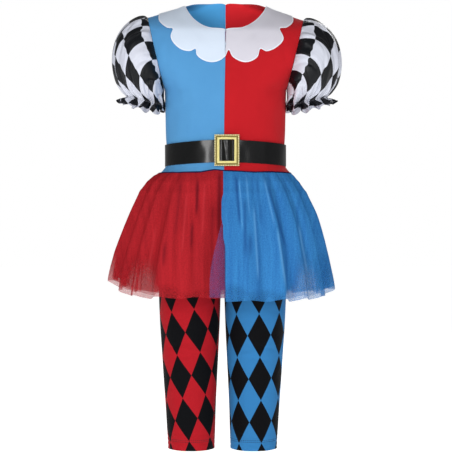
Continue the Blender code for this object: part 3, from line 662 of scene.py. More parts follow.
def sleeve_points(side, t, u):
    down, around = np.meshgrid(t, u, indexing="ij")
    ring = through(sleeve_rings, down)
    turn = 2 * math.pi * around
    reach = np.hypot(ring.outer_x - ring.inner_x, ring.outer_z - ring.inner_z)
    across_x = (ring.outer_x - ring.inner_x) / reach
    across_z = (ring.outer_z - ring.inner_z) / reach
    swing = 0.35 * np.sin(3 * turn + 0.7) + 0.25 * np.sin(2 * turn + 2.0)
    near_body = ramp(-np.cos(turn), 0.5, 1.0)
    pressed = 0.0017 * ramp(down, 0.40, 0.75) * near_body
    wave = ring.waves * np.cos(sleeve_waves * turn) * (1 - 0.75 * near_body) * (1 + swing)
    at_cap = (1 - ramp(down, 0.05, 0.34)) * ramp(down, 0.0, 0.06)
    at_elastic = ramp(down, 0.50, 0.82)
    cap_pleats = np.cos(29 * turn + 1.4 * np.sin(2 * turn)) * (1 + 0.5 * np.sin(5 * turn + side))
    cuff_pleats = np.cos(31 * turn + 1.2 * np.sin(3 * turn + 2)) * (1 + 0.5 * np.sin(4 * turn + side))
    fine = (0.0010 * at_cap * cap_pleats + 0.0015 * at_elastic * cuff_pleats) * (1 - 0.8 * near_body)
    for crease in sleeve_creases:
        past = down - crease.down
        away = (around - crease.turn - crease.slant * past / crease.long + 0.5) % 1 - 0.5
        fine = fine - crease_depth * crease.deep * crease_shape(away, past, crease.wide, crease.long)
    half = reach / 2 + wave + fine
    depth = ring.depth + wave + fine
    frill = 0.0028 * ramp(down, 0.86, 1.0) * (1 - 0.8 * near_body) * (1 + swing)
    x = (ring.outer_x + ring.inner_x) / 2 + across_x * half * np.cos(turn)
    z = (ring.outer_z + ring.inner_z) / 2 + across_z * half * np.cos(turn) - ring.dip * abs(np.sin(turn))
    z = z + frill * np.cos(sleeve_waves * turn + 1.9)
    x = x - pressed
    if side > 0:
        x = np.where(x > shoulder_half, shoulder_half + (x - shoulder_half) * left_reach, x)
    return leaned(np.stack([side * x, -depth * np.sin(turn), z], axis=-1))


def add_diamonds(cloth, uv_map, first, second, centre=(0, 0), lean=0.0, size=(1, 1)):
    """Prints diamonds of the colour second on first, in a grid of that centre, lean and size."""
    tree, shader, place = parts_of(cloth)
    grid = node(tree, "Mapping", {
        "Vector": node(tree, "UVMap", uv_map=uv_map).outputs[0],
        "Location": (*centre, 0), "Rotation": (0, 0, lean), "Scale": (*size, 1),
    }, vector_type="TEXTURE")
    axis = axes(tree, grid.outputs[0])
    total = maths(tree, "ADD", *[maths(tree, "PINGPONG", axis[way], 0.5) for way in "XY"])
    uneven = maths(tree, "MULTIPLY_ADD", noise(tree, place, 60.0), 0.02, total)
    inside = mapped(tree, uneven, 0.503, 0.517, interpolation_type="SMOOTHSTEP")
    wire(tree, shader, {"Base Color": mixed(tree, inside, first, second)})


satin_black = (0.0038, 0.0046, 0.0064)
satin_white = (0.56, 0.58, 0.66)
for name, side, across, lean in (("sleeve_right", -1, 0.0818, 11.5), ("sleeve_left", 1, 0.0675, 7.7)):
    t = np.linspace(0, 1, 97)
    u = np.linspace(0, 1, 265)
    points = sleeve_points(side, t, u)
    smooth = cut_of(points)
    widest = np.argmax(smooth[:, -1, 0])
    length = sleeve_diamonds * sleeve_diamond_wide
    line = np.array([np.interp(elastic_t, t, column) for column in smooth[..., 1].T])
    cut = np.zeros((*points.shape[:2], 2))
    cut[..., 0] = (smooth[widest, :, 0] / smooth[widest, -1, 0] * length)[None, :]
    cut[..., 1] = line[None, :] - smooth[..., 1]
    from_centre = cut - np.array([across, sleeve_print_up])
    printed_at = np.stack([
        from_centre[..., 0] / sleeve_diamond_wide + lean * from_centre[..., 1],
        from_centre[..., 1] / sleeve_diamond_tall - from_centre[..., 0] / length,
    ], axis=-1)
    satin = plain_cloth("diamond_satin_" + name.removeprefix("sleeve_"), satin_white, 0.36, gloss=0.20)
    add_diamonds(satin, "mark", satin_white, satin_black)
    add_knit(satin, 0.0007, 0.00005)
    add_wrinkles(satin, (75.0, 24.0), 0.0040)
    add_stitches(satin, (-0.0012, 0.0012, -0.0140), 0.0026, (0.10, 0.10, 0.12))
    sleeve = sheet_piece("satin_" + name, points, cut, sleeve_wall, (side * 0.122, 0), printed_at)
    sleeve.data.materials.append(satin)
    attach(sleeve, "root")
    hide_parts(name)

# The belt is a strip of black patent sheet, glossy with soft dents, that goes round the waist and
# over the bar of a slide buckle at the front. It is a thin closed shell with plainly cut edges.
belt_top = -0.2050
belt_bottom = -0.2376
belt_off = 0.0006
belt_wall = 0.0016
belt_shell = 0.0013
buckle_x = 0.0020
buckle_z = -0.2203
strap_rise = 0.0030
strap_rise_half = 0.0088
belt_sag = 0.0034
whole_skin = surface_of(list(bodice_skin.values()))


def body_reach(turn, z):
    """How far out the bodice is at height z, in the direction turn from straight ahead."""
    out = Vector((math.sin(turn), -math.cos(turn), 0))
    return whole_skin.ray_cast(Vector((0, 0, z)) + out * well_outside, -out)[0].xy.length


belt_sides = 1080
belt_smooth = 18
belt_turn = 2 * math.pi * (np.arange(belt_sides + 1) + 0.5) / belt_sides
reach = [max(body_reach(turn, z) for z in (belt_bottom, belt_top)) for turn in belt_turn[:-1]]
shifts = range(-belt_smooth, belt_smooth + 1)
smooth_reach = sum(np.roll(reach, shift) for shift in shifts) / len(shifts)
up, turn = np.meshgrid(np.linspace(0, 1, 13), belt_turn, indexing="ij")
ahead = np.cos(turn) > 0
belt_reach = np.append(smooth_reach, smooth_reach[0]) + 0 * up + belt_off + belt_wall
dents = 0.00030 * np.sin(9 * turn + 1.0) * np.sin(4 * turn)
dents = dents + 0.00010 * np.sin(23 * turn + 2.0 * np.sin(3 * turn))
belt_reach = belt_reach + dents * np.cos(math.pi * (up - 0.3))
x = belt_reach * np.sin(turn)
from_bar = np.where(ahead, abs(x - buckle_x) / strap_rise_half, 1.0)
belt_reach = belt_reach + strap_rise * (1 - ramp(from_bar, 0.0, 1.0))
# Two thin creases stand up in the strap inside the buckle, close together low down.
crease_high, crease_half = 0.0004, 0.0007
for top_x, low_x in ((-0.0029, 0.0016), (0.0029, 0.0043)):
    line = low_x + (top_x - low_x) * up
    belt_reach = belt_reach + crease_high * np.exp(-(((x - line) / crease_half) ** 2)) * ahead
sagged = belt_sag * (1 + 0.2 * up) * np.sin(turn) ** 2
belt_points = np.stack([
    belt_reach * np.sin(turn),
    -belt_reach * np.cos(turn),
    belt_bottom + (belt_top - belt_bottom) * up - sagged,
], axis=-1)
belt_strap = sheet_piece("gloss_belt", belt_points, cut_of(belt_points), belt_shell, (0, 0))
gloss = plain_cloth("black_gloss_belt", (0.0020, 0.0022, 0.0025), 0.30, gloss=0.04)
tree, shader, place = parts_of(gloss)
wire(tree, shader, {"Coat Weight": 0.62, "Coat Roughness": 0.19})
add_relief(gloss, noise(tree, place, 34.0, 3.0), 0.15, 0.0006)
belt_strap.data.materials.append(gloss)
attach(belt_strap, "root")
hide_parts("belt_strap")

# The buckle is a cast metal slide in a pale gold finish: a flat frame with a smooth raised rim round
# its opening, a sunk channel, and a row of small beads along the outer edge. An upright bar is cast
# behind the frame, and the strap is threaded over it.
buckle_wide, buckle_tall, buckle_thick = 0.0352, 0.0448, 0.0028
opening_wide, opening_tall = 0.0216, 0.0322
bar_wide, bar_thick = 0.0030, 0.0018
buckle_round, bar_round = 0.00035, 0.0006
front_part = slice(0, 90)
strap_y = (belt_reach[0] * np.cos(belt_turn))[front_part]
strap_front = -float(np.interp(buckle_x, x[0][front_part], strap_y)) + strap_rise
buckle_back = strap_front - seam


def box_at(size, place):
    """A cube of that size, left as the active object with its size and place applied."""
    bpy.ops.object.select_all(action="DESELECT")
    bpy.ops.mesh.primitive_cube_add(size=1.0, location=place)
    bpy.context.object.scale = size
    bpy.ops.object.transform_apply(location=True, rotation=False, scale=True)
    return bpy.context.object


def pick_faces(obj, wanted):
    """Edit mode with only the faces for which wanted(middle, normal) holds selected."""
    bpy.ops.object.mode_set(mode="EDIT")
    bpy.ops.mesh.select_mode(type="FACE")
    bpy.ops.mesh.select_all(action="DESELECT")
    work = bmesh.from_edit_mesh(obj.data)
    for face in work.faces:
        face.select = bool(wanted(face.calc_center_median(), face.normal))
    work.select_flush_mode()
    bmesh.update_edit_mesh(obj.data)


def round_edges(obj, width):
    """Rounds the edges of the active object with an applied bevel."""
    rounded = obj.modifiers.new("edges", "BEVEL")
    rounded.width = width
    rounded.segments = 3
    rounded.limit_method = "ANGLE"
    bpy.ops.object.modifier_apply(modifier="edges")


def cast_gold(name, dark, light):
    """Cast metal with a thin gold finish, its tone and its polish both a little uneven. Its darker and
    brighter copies paint shade and highlight on the buckle.
    """
    made = bpy.data.materials.new(name)
    made.use_nodes = True
    tree = made.node_tree
    wear = noise(tree, node(tree, "TexCoord").outputs["Object"], 260.0, 4.0)
    wire(tree, tree.nodes["Principled BSDF"], {
        "Metallic": 0.75, "Specular IOR Level": 0.5,
        "Base Color": mixed(tree, wear, dark, light), "Roughness": mapped(tree, wear, 0, 1, 0.40, 0.55),
    })
    return made


# The same gold three times: as cast, darker as painted shade in the channel and on the flat under the
# beads, and brighter as painted highlight on the beads.
gold = cast_gold("pale_gold", (0.34, 0.29, 0.10), (0.60, 0.54, 0.23))
gold_in_painted_shade = cast_gold("pale_gold_painted_shade", (0.12, 0.09, 0.02), (0.34, 0.28, 0.09))
gold_with_painted_highlight = cast_gold("pale_gold_beads_painted_highlight", (0.80, 0.72, 0.36), (0.95, 0.90, 0.58))
buckle = box_at(
    (buckle_wide, buckle_thick, buckle_tall), (buckle_x, buckle_back - buckle_thick / 2, buckle_z)
)
buckle.name = buckle.data.name = "gold_buckle"
band = (buckle_wide - opening_wide) / 2
# From the outer edge inwards: the flat under the beads, down, the channel's floor, up, the rim's top.
Step = namedtuple("Step", "wide rise")
steps = [Step(0.0018, 0.0), Step(0.0004, -0.0008), Step(0.0006, 0.0), Step(0.0007, 0.0012)]
steps.append(Step(band - sum(step.wide for step in steps), 0.0))
pick_faces(buckle, lambda middle, normal: normal.y < -0.9)
for step in steps:
    bpy.ops.mesh.inset(thickness=step.wide, depth=step.rise)
pick_faces(buckle, lambda middle, normal: normal.y > 0.9)
bpy.ops.mesh.inset(thickness=band, depth=0.0)
centre = Vector((buckle_x, buckle_z))
pick_faces(buckle, lambda middle, normal: abs(normal.y) > 0.9 and (middle.xz - centre).length < 1e-4)
bpy.ops.mesh.bridge_edge_loops()
bpy.ops.object.mode_set(mode="OBJECT")
round_edges(buckle, buckle_round)
buckle.data.materials.append(gold)
buckle.data.materials.append(gold_in_painted_shade)
# Faces of the channel and the flat under the beads take the darker gold: painted shade.
painted_shade_depth = 0.0012
painted_shade_from, painted_shade_to = 0.0002, 0.0033
for face in buckle.data.polygons:
    off_x, off_z = abs(face.center.x - buckle_x), abs(face.center.z - buckle_z)
    from_rim = min(buckle_wide / 2 - off_x, buckle_tall / 2 - off_z)
    on_face = face.center.y < buckle_back - buckle_thick + painted_shade_depth
    face.material_index = int(on_face and painted_shade_from < from_rim < painted_shade_to)
bar = box_at(
    (bar_wide, bar_thick, opening_tall + 0.004),
    (buckle_x, strap_front - strap_rise + belt_wall + seam + bar_thick / 2, buckle_z),
)
round_edges(bar, bar_round)
bar.data.materials.append(gold)
bpy.ops.object.select_all(action="DESELECT")
bead_radius = 0.00105
bead_inset = 0.00045
bpy.ops.mesh.primitive_ico_sphere_add(subdivisions=2, radius=bead_radius, location=(0, 0, 0))
bead = bpy.context.object
# The beads take the brighter gold: painted highlight.
bead.data.materials.append(gold_with_painted_highlight)
bead_y = buckle_back - buckle_thick + 0.0001
beads = []
tall_row, wide_row = buckle_tall / 2 - bead_inset, buckle_wide / 2 - bead_inset
places = [(side * wide_row, z) for side in (-1, 1) for z in np.linspace(-tall_row, tall_row, 19)]
between = np.linspace(-wide_row, wide_row, 15)[1:-1]
places += [(across, side * tall_row) for side in (-1, 1) for across in between]
for across, z in places:
    copy = bpy.data.objects.new("bead", bead.data.copy())
    copy.location = (buckle_x + across, bead_y, buckle_z + z)
    bpy.context.scene.collection.objects.link(copy)
    beads.append(copy)
bpy.data.objects.remove(bead)
for made in (buckle, bar, *beads):
    made.select_set(True)
bpy.context.view_layer.objects.active = buckle
bpy.ops.object.join()
bpy.ops.object.transform_apply(location=True, rotation=True, scale=True)
bpy.ops.object.shade_smooth_by_angle(angle=math.radians(35))
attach(buckle, "root")
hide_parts("belt_buckle")

# The skirt is four sheets of soft tulle, two layers on each half, red on the wearer's right and
# blue on the left, gathered into the waist seam and cut off plainly at the hem. Each sheet is one
# thin surface; the net itself is in the material, dense by the waist and sheer towards the hem.
SkirtRow = namedtuple("SkirtRow", "down right left front back folds under")
skirt_rows = [SkirtRow(*row) for row in (
    (0.00, 0.1000, 0.0985, 0.0718, 0.0668, 0.0003, 0.0022),
    (0.03, 0.1075, 0.1030, 0.0765, 0.0715, 0.0010, 0.0032),
    (0.08, 0.1160, 0.1100, 0.0835, 0.0790, 0.0016, 0.0036),
    (0.17, 0.1262, 0.1205, 0.0925, 0.0900, 0.0024, 0.0038),
    (0.36, 0.1385, 0.1348, 0.1070, 0.1070, 0.0036, 0.0044),
    (0.55, 0.1497, 0.1440, 0.1195, 0.1200, 0.0046, 0.0052),
    (0.74, 0.1597, 0.1512, 0.1300, 0.1310, 0.0056, 0.0060),
    (1.00, 0.1675, 0.1585, 0.1400, 0.1420, 0.0070, 0.0068),
)]
skirt_top = waist_z - 0.0004
hem_back = -0.4330
hem_lift_sharpness = 12
skirt_folds = 11
tuck = 0.0145
under_lap = 0.0247
edge_lap = 0.006
Layer = namedtuple("Layer", "name side depth phase hem_front hem_side sheer")
skirt_layers = [
    Layer("skirt_red", -1, 0, 0.4, -0.4315, -0.4100, 0.48),
    Layer("skirt_red_under", -1, 1, 0.4, -0.4265, -0.4060, 0.34),
    Layer("skirt_blue", 1, 0, 1.9, -0.4350, -0.4220, 0.50),
    Layer("skirt_blue_under", 1, 1, 1.9, -0.4310, -0.4180, 0.30),
]


def keyed(rows, keys, at):
    """The rows at one value of their keys, which rise, on a smooth curve between the rows."""
    return through(rows, np.interp(at, keys, np.linspace(0, 1, len(rows))))


def skirt_plan(row, side, around):
    reach = row.right if side < 0 else row.left
    ahead = around < 0.5
    f = np.where(ahead, abs(around) * 2, (around - 0.5) * 2)
    x = np.where(ahead, quarter(0, reach, reach, f) * np.sign(around), quarter(reach, reach, 0, f))
    y = np.where(ahead, quarter(-row.front, -row.front, 0, f), quarter(0, row.back, row.back, f))
    return np.stack([x, y], axis=-1)


def skirt_points(layer, down, u):
    down, u = np.meshgrid(down, u, indexing="ij")
    row = keyed(skirt_rows, [row.down for row in skirt_rows], down)
    lap = 0 * down
    if layer.name == "skirt_blue_under":
        lap = under_lap * ramp(down, 0.20, 0.90)
    if layer.name == "skirt_blue":
        lap = edge_lap * ramp(down, 0.10, 0.26) * (1 - ramp(down, 0.36, 0.52))
        lap = np.maximum(lap, 0.0035 * (1 - ramp(down, 0.50, 0.62)))
    past = lap / (6 * roundness * np.maximum(row.left, row.right))
    around = u - past * (1 - ramp(u, 0.0, 0.16))
    plain = skirt_plan(row, layer.side, around)
    ahead = around < 0.5
    along = skirt_plan(row, layer.side, np.where(ahead, around + 0.01, around - 0.01)) - plain
    along = along * np.where(ahead, 1, -1)[..., None]
    out = np.stack([along[..., 1], -along[..., 0]], axis=-1)
    out /= np.linalg.norm(out, axis=-1, keepdims=True)
    turn = 2 * math.pi * skirt_folds * around
    uneven = 0.55 * np.sin(2 * math.pi * 3 * around + layer.phase)
    calm = 1 - 0.7 * (1 - ramp(u, 0.0, 0.12)) - 0.5 * ramp(u, 0.94, 1.0)
    size = row.folds * (1 + 0.30 * np.sin(2 * math.pi * 5 * around + layer.phase))
    fold = size * np.cos(turn + uneven + layer.phase) * calm
    gathers = np.cos(2.9 * turn + 1.3 * np.sin(2 * math.pi * 4 * around + layer.depth))
    small = 0.16 * row.folds * gathers * (1 - 0.4 * down) * calm
    inset = layer.depth * row.under
    if layer.side < 0:
        inset = inset + tuck * ramp(down, 0.02, 0.32) * (1 - ramp(u, 0.03, 0.22))
        inset = inset + 0.0009 * (1 - ramp(u, 0.03, 0.10))
    flat = plain + out * (fold + small - inset)[..., None]
    x = np.where((lap > 0) & (u < 0.25), flat[..., 0], np.maximum(flat[..., 0], seam / 2))
    sideways = np.sin(math.pi * np.clip(around, 0.0, 1.0)) ** hem_lift_sharpness
    ends = np.where(ahead, layer.hem_front, hem_back)
    hem = ends + (layer.hem_side - ends) * sideways + 0.3 * fold
    top = skirt_top + seam_wave(layer.side * x, flat[..., 1])
    return np.stack([layer.side * x, flat[..., 1], top + (hem - top) * down], axis=-1)


# A dark purple band along the top of each net at the waist seam: painted shade along the seam.
waist_seam_painted_shade = (0.014, 0.010, 0.045)
waist_seam_shade_width = 0.0021


def net(name, colour, shade, deep, painted_fold_highlight):
    """Tulle: threads and gaps too fine to see one by one, as dense as the sheet's own mark says.

    The mark's second number takes the colour towards deep, a painted shade, where it is above 0, and
    towards the paler painted highlight colour below 0.
    """
    cloth = plain_cloth(name, colour, 0.8, gloss=0.0)
    tree, shader, place = parts_of(cloth)
    marks = axes(tree, node(tree, "UVMap", uv_map="mark").outputs[0])
    grain = node(tree, "TexVoronoi", {"Vector": place, "Scale": 620.0}, feature="DISTANCE_TO_EDGE")
    thread = mapped(tree, grain.outputs["Distance"], 0.05, 0.35, 0.16, -0.10)
    gathers = noise(tree, stretched(tree, place, (150.0, 9.0)), 1.0, 3.0)
    uneven = mapped(tree, maths(tree, "ADD", noise(tree, place, 480.0), gathers), 0.72, 1.28)
    fold_shaded = mixed(tree, marks["Y"], mixed(tree, uneven, shade, colour), deep)
    fold_highlight_amount = maths(tree, "MULTIPLY", marks["Y"], -1.0, use_clamp=True)
    # The band along the waist seam is painted shade.
    in_seam = maths(tree, "LESS_THAN", axes(tree, place)["Y"], waist_seam_shade_width)
    wire(tree, shader, {
        "Alpha": maths(tree, "ADD", marks["X"], thread, use_clamp=True),
        "Base Color": mixed(tree, in_seam, mixed(tree, fold_highlight_amount, fold_shaded, painted_fold_highlight), waist_seam_painted_shade),
    })
    return cloth


# A line of painted shade where a fold turns in, from one place to another as seen from the front or back.
# A negative dark is a line of painted highlight along the top of a fold.
Streak = namedtuple("Streak", "facing x z end_x end_z wide dark")
skirt_streaks = [Streak(*row) for row in (
    (-1, -0.0399, -0.262, -0.0415, -0.316, 0.0022, 1.0),
    (-1, -0.0475, -0.324, -0.0490, -0.366, 0.0024, 0.8),
    (-1, -0.0860, -0.352, -0.0880, -0.388, 0.0022, 0.8),
    (-1, -0.0640, -0.262, -0.0720, -0.345, 0.0022, 0.5),
    (-1, -0.0180, -0.300, -0.0200, -0.400, 0.0026, 0.5),
    (-1, -0.0088, -0.250, -0.0092, -0.345, 0.0034, 1.0),
    (-1, 0.0350, -0.340, 0.0350, -0.374, 0.0030, 0.8),
    (-1, 0.0150, -0.256, 0.0207, -0.330, 0.0024, 1.0),
    (-1, 0.0278, -0.290, 0.0278, -0.374, 0.0024, 0.8),
    (-1, 0.0617, -0.274, 0.0862, -0.361, 0.0020, 0.7),
    (-1, 0.0450, -0.262, 0.0520, -0.330, 0.0022, 0.5),
    (-1, 0.0190, -0.262, 0.0243, -0.338, 0.0013, -0.75),
    (-1, 0.0300, -0.258, 0.0340, -0.318, 0.0012, -0.45),
    (-1, 0.0405, -0.305, 0.0461, -0.405, 0.0014, -0.65),
    (-1, 0.0560, -0.262, 0.0700, -0.330, 0.0014, -0.45),
    (-1, 0.0740, -0.335, 0.0850, -0.415, 0.0016, -0.70),
    (-1, 0.1060, -0.330, 0.1180, -0.400, 0.0016, -0.60),
    (-1, -0.0300, -0.270, -0.0330, -0.345, 0.0014, -0.40),
    (-1, -0.0560, -0.285, -0.0620, -0.370, 0.0014, -0.40),
    (-1, -0.1000, -0.330, -0.1110, -0.395, 0.0016, -0.45),
    (1, 0.0340, -0.300, 0.0390, -0.400, 0.0014, -0.60),
    (1, -0.0460, -0.290, -0.0520, -0.380, 0.0014, -0.50),
    (1, -0.0300, -0.260, -0.0360, -0.340, 0.0024, 0.9),
    (1, -0.0620, -0.266, -0.0740, -0.350, 0.0024, 0.8),
    (1, -0.0120, -0.320, -0.0100, -0.400, 0.0026, 0.6),
    (1, 0.0240, -0.262, 0.0290, -0.336, 0.0024, 0.8),
    (1, 0.0560, -0.270, 0.0680, -0.372, 0.0024, 0.9),
    (1, 0.0420, -0.330, 0.0470, -0.400, 0.0026, 0.6),
)]


dense = 0.97
over_red = 0.25
strongest_painted_shade = 0.76


def net_marks(layer, points, down):
    """How dense the net is, least at the sides and hem, with painted shade and painted highlight along its
    folds, and painted shade where the blue under layer lies behind the red.
    """
    x, y, z = points[..., 0], points[..., 1], points[..., 2]
    fallen = -(z - skirt_top) + 0.004 * np.sin(60 * x + 1.0) + 0.003 * np.sin(137 * x)
    middle = dense - (dense - layer.sheer - 0.08) * ramp(fallen, 0.160, 0.178)
    sides = dense - (dense - layer.sheer) * ramp(fallen, 0.092, 0.168)
    at_side = ramp(abs(x), 0.088, 0.112)
    cover = middle * (1 - at_side) + sides * at_side
    past = ramp(-layer.side * x, -0.002, 0.003) * ramp(down[:, None], 0.2, 0.35) * (y < 0)
    if layer.name == "skirt_blue_under":
        cover = cover * (1 - past) + over_red * past
    dark = np.zeros(x.shape)
    for streak in skirt_streaks:
        length = math.hypot(streak.end_x - streak.x, streak.end_z - streak.z)
        ways = (streak.end_x - streak.x) / length, (streak.end_z - streak.z) / length
        along = (x - streak.x) * ways[0] + (z - streak.z) * ways[1]
        off = (x - streak.x) * ways[1] - (z - streak.z) * ways[0]
        fades = ramp(along, -0.006, 0.012) * (1 - ramp(along, length - 0.016, length + 0.006))
        dark += streak.dark * np.exp(-((off / streak.wide) ** 2)) * fades * (streak.facing * y > 0)
    # Where the blue under layer lies behind the red, its colour is taken towards its deep colour: painted
    # shade between the layers.
    if layer.name == "skirt_blue_under":
        dark = dark + 0.95 * past
    return np.stack([cover, np.where(dark > 0, strongest_painted_shade, 1.0) * np.clip(dark, -1.0, 1.0)], axis=-1)


net_red, net_red_shade = (0.430, 0.0190, 0.0260), (0.285, 0.0130, 0.0180)
net_blue, net_blue_shade = (0.042, 0.220, 0.510), (0.026, 0.140, 0.390)
# Each net's fourth colour is its painted fold shade, and its last colour is its painted fold highlight.
red_net = net("red_net", net_red, net_red_shade, (0.085, 0.006, 0.012), (0.560, 0.040, 0.050))
blue_net = net("blue_net", net_blue, net_blue_shade, (0.014, 0.060, 0.220), (0.120, 0.360, 0.700))
for layer in skirt_layers:
    down = np.linspace(0, 1, 73)
    points = skirt_points(layer, down, np.linspace(0, 1, 265))
    marks = net_marks(layer, points, down)
    sheet = sheet_piece("tulle_" + layer.name, points, cut_of(points), 0.0, (0, 0), marks)
    sheet.data.materials.append(red_net if layer.side < 0 else blue_net)
    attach(sheet, "root")
    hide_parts(layer.name)

# The leggings are footless tights of stretch knit, printed with black diamonds over red on the
# wearer's right leg and over blue on the left, sewn up the inside of each leg and round the crotch.
# Each leg is one shell open above the crotch towards the other, with small wrinkles at knee and ankle.
crotch_z = -0.3620
leg_gap = 0.0006
leg_seam_x = -0.0045
legging_wall = 0.0009
leg_top = -0.2566
ankle_z = -0.662
LegRow = namedtuple("LegRow", "z middle half front back")
leg_rows = [LegRow(*row) for row in (
    (leg_top, 0.0000, 0.0915, 0.0672, 0.0625),
    (-0.275, 0.0080, 0.0850, 0.0685, 0.0650),
    (-0.300, 0.0200, 0.0740, 0.0695, 0.0690),
    (-0.325, 0.0320, 0.0625, 0.0690, 0.0700),
    (-0.345, 0.0410, 0.0540, 0.0665, 0.0680),
    (crotch_z, 0.0478, 0.0474, 0.0620, 0.0640),
    (-0.400, 0.0486, 0.0466, 0.0540, 0.0560),
    (-0.441, 0.0490, 0.0460, 0.0495, 0.0510),
    (-0.480, 0.0488, 0.0444, 0.0465, 0.0480),
    (-0.520, 0.0484, 0.0422, 0.0440, 0.0460),
    (-0.560, 0.0481, 0.0399, 0.0415, 0.0465),
    (-0.600, 0.0476, 0.0376, 0.0390, 0.0440),
    (-0.628, 0.0471, 0.0363, 0.0375, 0.0405),
    (ankle_z, 0.0467, 0.0350, 0.0355, 0.0375),
)]
# A wrinkle across a leg, as seen from the front: its middle from the leg's own middle, its height,
# half length, slant in degrees, and width. A negative depth is a ridge. facing is -1 on the front.
Wrinkle = namedtuple("Wrinkle", "side facing x z long slant wide deep")
leg_wrinkles = [Wrinkle(*row) for row in (
    (-1, -1, -0.014, -0.505, 0.020, 14, 0.0030, 0.0009),
    (-1, -1, 0.010, -0.513, 0.016, -10, 0.0026, -0.0007),
    (-1, -1, -0.008, -0.522, 0.018, 6, 0.0028, 0.0008),
    (-1, -1, 0.006, -0.640, 0.016, 8, 0.0024, 0.0008),
    (-1, -1, -0.008, -0.648, 0.016, -9, 0.0024, 0.0009),
    (-1, -1, 0.012, -0.402, 0.018, 30, 0.0032, 0.0009),
    (1, -1, 0.012, -0.508, 0.020, -12, 0.0030, 0.0009),
    (1, -1, -0.010, -0.517, 0.016, 10, 0.0026, -0.0007),
    (1, -1, 0.006, -0.526, 0.018, -5, 0.0028, 0.0008),
    (1, -1, -0.006, -0.641, 0.016, -8, 0.0024, 0.0009),
    (1, -1, 0.010, -0.650, 0.016, 9, 0.0024, 0.0008),
    (1, -1, -0.012, -0.404, 0.018, -28, 0.0032, 0.0009),
    (-1, 1, 0.004, -0.498, 0.024, 6, 0.0034, 0.0013),
    (-1, 1, -0.008, -0.510, 0.022, -9, 0.0030, -0.0009),
    (-1, 1, 0.006, -0.521, 0.022, 8, 0.0032, 0.0012),
    (-1, 1, 0.010, -0.376, 0.026, 34, 0.0040, 0.0013),
    (-1, 1, -0.004, -0.645, 0.018, -6, 0.0026, 0.0009),
    (1, 1, -0.004, -0.500, 0.024, -7, 0.0034, 0.0013),
    (1, 1, 0.009, -0.512, 0.022, 10, 0.0030, -0.0009),
    (1, 1, -0.006, -0.524, 0.022, -6, 0.0032, 0.0012),
    (1, 1, -0.012, -0.379, 0.026, -32, 0.0040, 0.0013),
    (1, 1, 0.005, -0.647, 0.018, 7, 0.0026, 0.0009),
)]


def leg_points(side, z, columns):
    row = keyed(leg_rows, [-row.z for row in leg_rows], -z)
    span = np.where(z > crotch_z + 1e-6, np.arccos(-np.minimum(row.middle / row.half, 1.0)), math.pi)
    turn = -span[:, None] + 2 * span[:, None] * np.linspace(0, 1, columns)[None, :]
    x = np.maximum(row.middle[:, None] + row.half[:, None] * np.cos(turn), leg_gap / 2)
    y = np.where(turn < 0, row.front[:, None], row.back[:, None]) * np.sin(turn)
    shift = leg_seam_x * ramp(-z, -leg_top, -crotch_z)
    return np.stack([side * x + shift[:, None], y, z[:, None] + 0 * x], axis=-1), row, shift


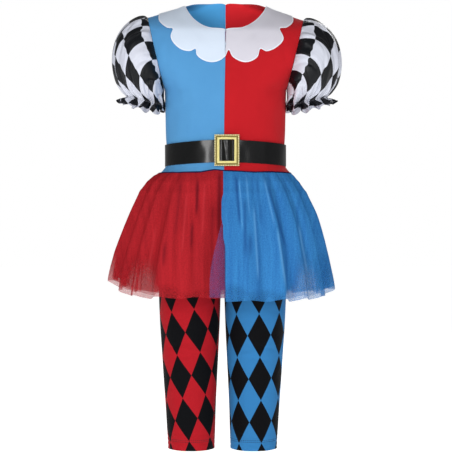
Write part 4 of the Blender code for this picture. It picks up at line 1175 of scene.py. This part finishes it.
diamond_wide = 0.0355
diamond_tall = 0.0640
leg_black = (0.0024, 0.0026, 0.0036)
leg_red = (0.385, 0.009, 0.016)
leg_blue = (0.031, 0.178, 0.415)
leg_z = np.concatenate([np.linspace(leg_top, crotch_z, 49), np.linspace(crotch_z, ankle_z, 145)[1:]])
for name, side, across, up, lean, colour, slot in (
    ("legging_right", -1, 0.0015, -0.5178, math.radians(-7.5), leg_red, "red_black_knit"),
    ("legging_left", 1, 0.0109, -0.5232, math.radians(-1.9), leg_blue, "blue_black_knit"),
):
    points, row, shift = leg_points(side, leg_z, 177)
    steps = np.linalg.norm(np.diff(points, axis=1), axis=-1).cumsum(axis=1)
    steps = np.pad(steps, ((0, 0), (1, 0)))
    middle_x = side * row.middle + shift
    toward_front = np.argmin(abs(points[:, :88, 0] - middle_x[:, None]), axis=1)
    from_front = steps - steps[np.arange(len(leg_z)), toward_front][:, None]
    cut = np.stack([-side * from_front, leg_z[:, None] + 0 * from_front], axis=-1)
    out = ways_out(points)
    inside_out = (out[..., 0] * (points[..., 0] - middle_x[:, None]) + out[..., 1] * points[..., 1]).sum()
    out *= -1 if inside_out < 0 else 1
    move = np.zeros(points.shape[:2])
    for wrinkle in leg_wrinkles:
        if wrinkle.side != side:
            continue
        slant = math.radians(wrinkle.slant)
        dx, dz = points[..., 0] - middle_x[:, None] - wrinkle.x, points[..., 2] - wrinkle.z
        along = dx * math.cos(slant) + dz * math.sin(slant)
        over = dz * math.cos(slant) - dx * math.sin(slant)
        shape = crease_shape(over, along, wrinkle.wide, wrinkle.long)
        move -= wrinkle.deep * shape * (points[..., 1] * wrinkle.facing > 0)
    low = ramp(-leg_z, 0.628, 0.655)[:, None]
    move -= 0.0003 * low * (1 + np.sin(900 * leg_z[:, None] + 3 * np.sin(9 * from_front / 0.1)))
    points = points + out * move[..., None]
    tights = plain_cloth(slot, colour, 0.7, sheen=0.02, gloss=0.06)
    add_diamonds(tights, "cut", colour, leg_black, (across, up), lean, (diamond_wide, diamond_tall))
    add_knit(tights, 0.0008, 0.00012)
    add_wrinkles(tights, (22.0, 30.0), 0.0030)
    add_stitches(tights, (-0.6465, -0.6490), 0.0030, (0.02, 0.02, 0.025))
    leg = sheet_piece("knit_" + name, points, cut, legging_wall, (side * 0.047 + leg_seam_x, 0))
    leg.data.materials.append(tights)
    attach(leg, "root")
    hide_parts(name)

# The leggings end at the waist in a soft knit band with an elastic inside, gathered a little when
# it is let go. It is one closed ring inside the bodice, in a blue close to that of the bodice.
waistband_wall = 0.0012
BandRow = namedtuple("BandRow", "z half front back")
band_rows = [BandRow(*row) for row in (
    (-0.2340, 0.0864, 0.0648, 0.0590),
    (-0.2450, 0.0888, 0.0660, 0.0606),
    (leg_top + seam, 0.0915, 0.0672, 0.0625),
)]
t, u = np.meshgrid(np.linspace(0, 1, 25), np.linspace(0, 1, 361), indexing="ij")
row = through(band_rows, t)
turn = 2 * math.pi * u
puckers = 0.00035 * (1 + np.cos(61 * turn + 1.5 * np.sin(4 * turn))) * np.sin(math.pi * t)
band_points = np.stack([
    (row.half - puckers) * np.sin(turn),
    -(np.where(np.cos(turn) > 0, row.front, row.back) - puckers) * np.cos(turn),
    row.z,
], axis=-1)
band_cloth = knit("waistband_elastic", (0.080, 0.290, 0.600), (0.055, 0.210, 0.460))
add_stitches(band_cloth, (0.0025, 0.0110, 0.0200), 0.0030, (0.30, 0.50, 0.75))
waistband = sheet_piece("knit_waistband", band_points, cut_of(band_points), waistband_wall, (0, 0))
waistband.data.materials.append(band_cloth)
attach(waistband, "root")
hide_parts("legging_waistband")
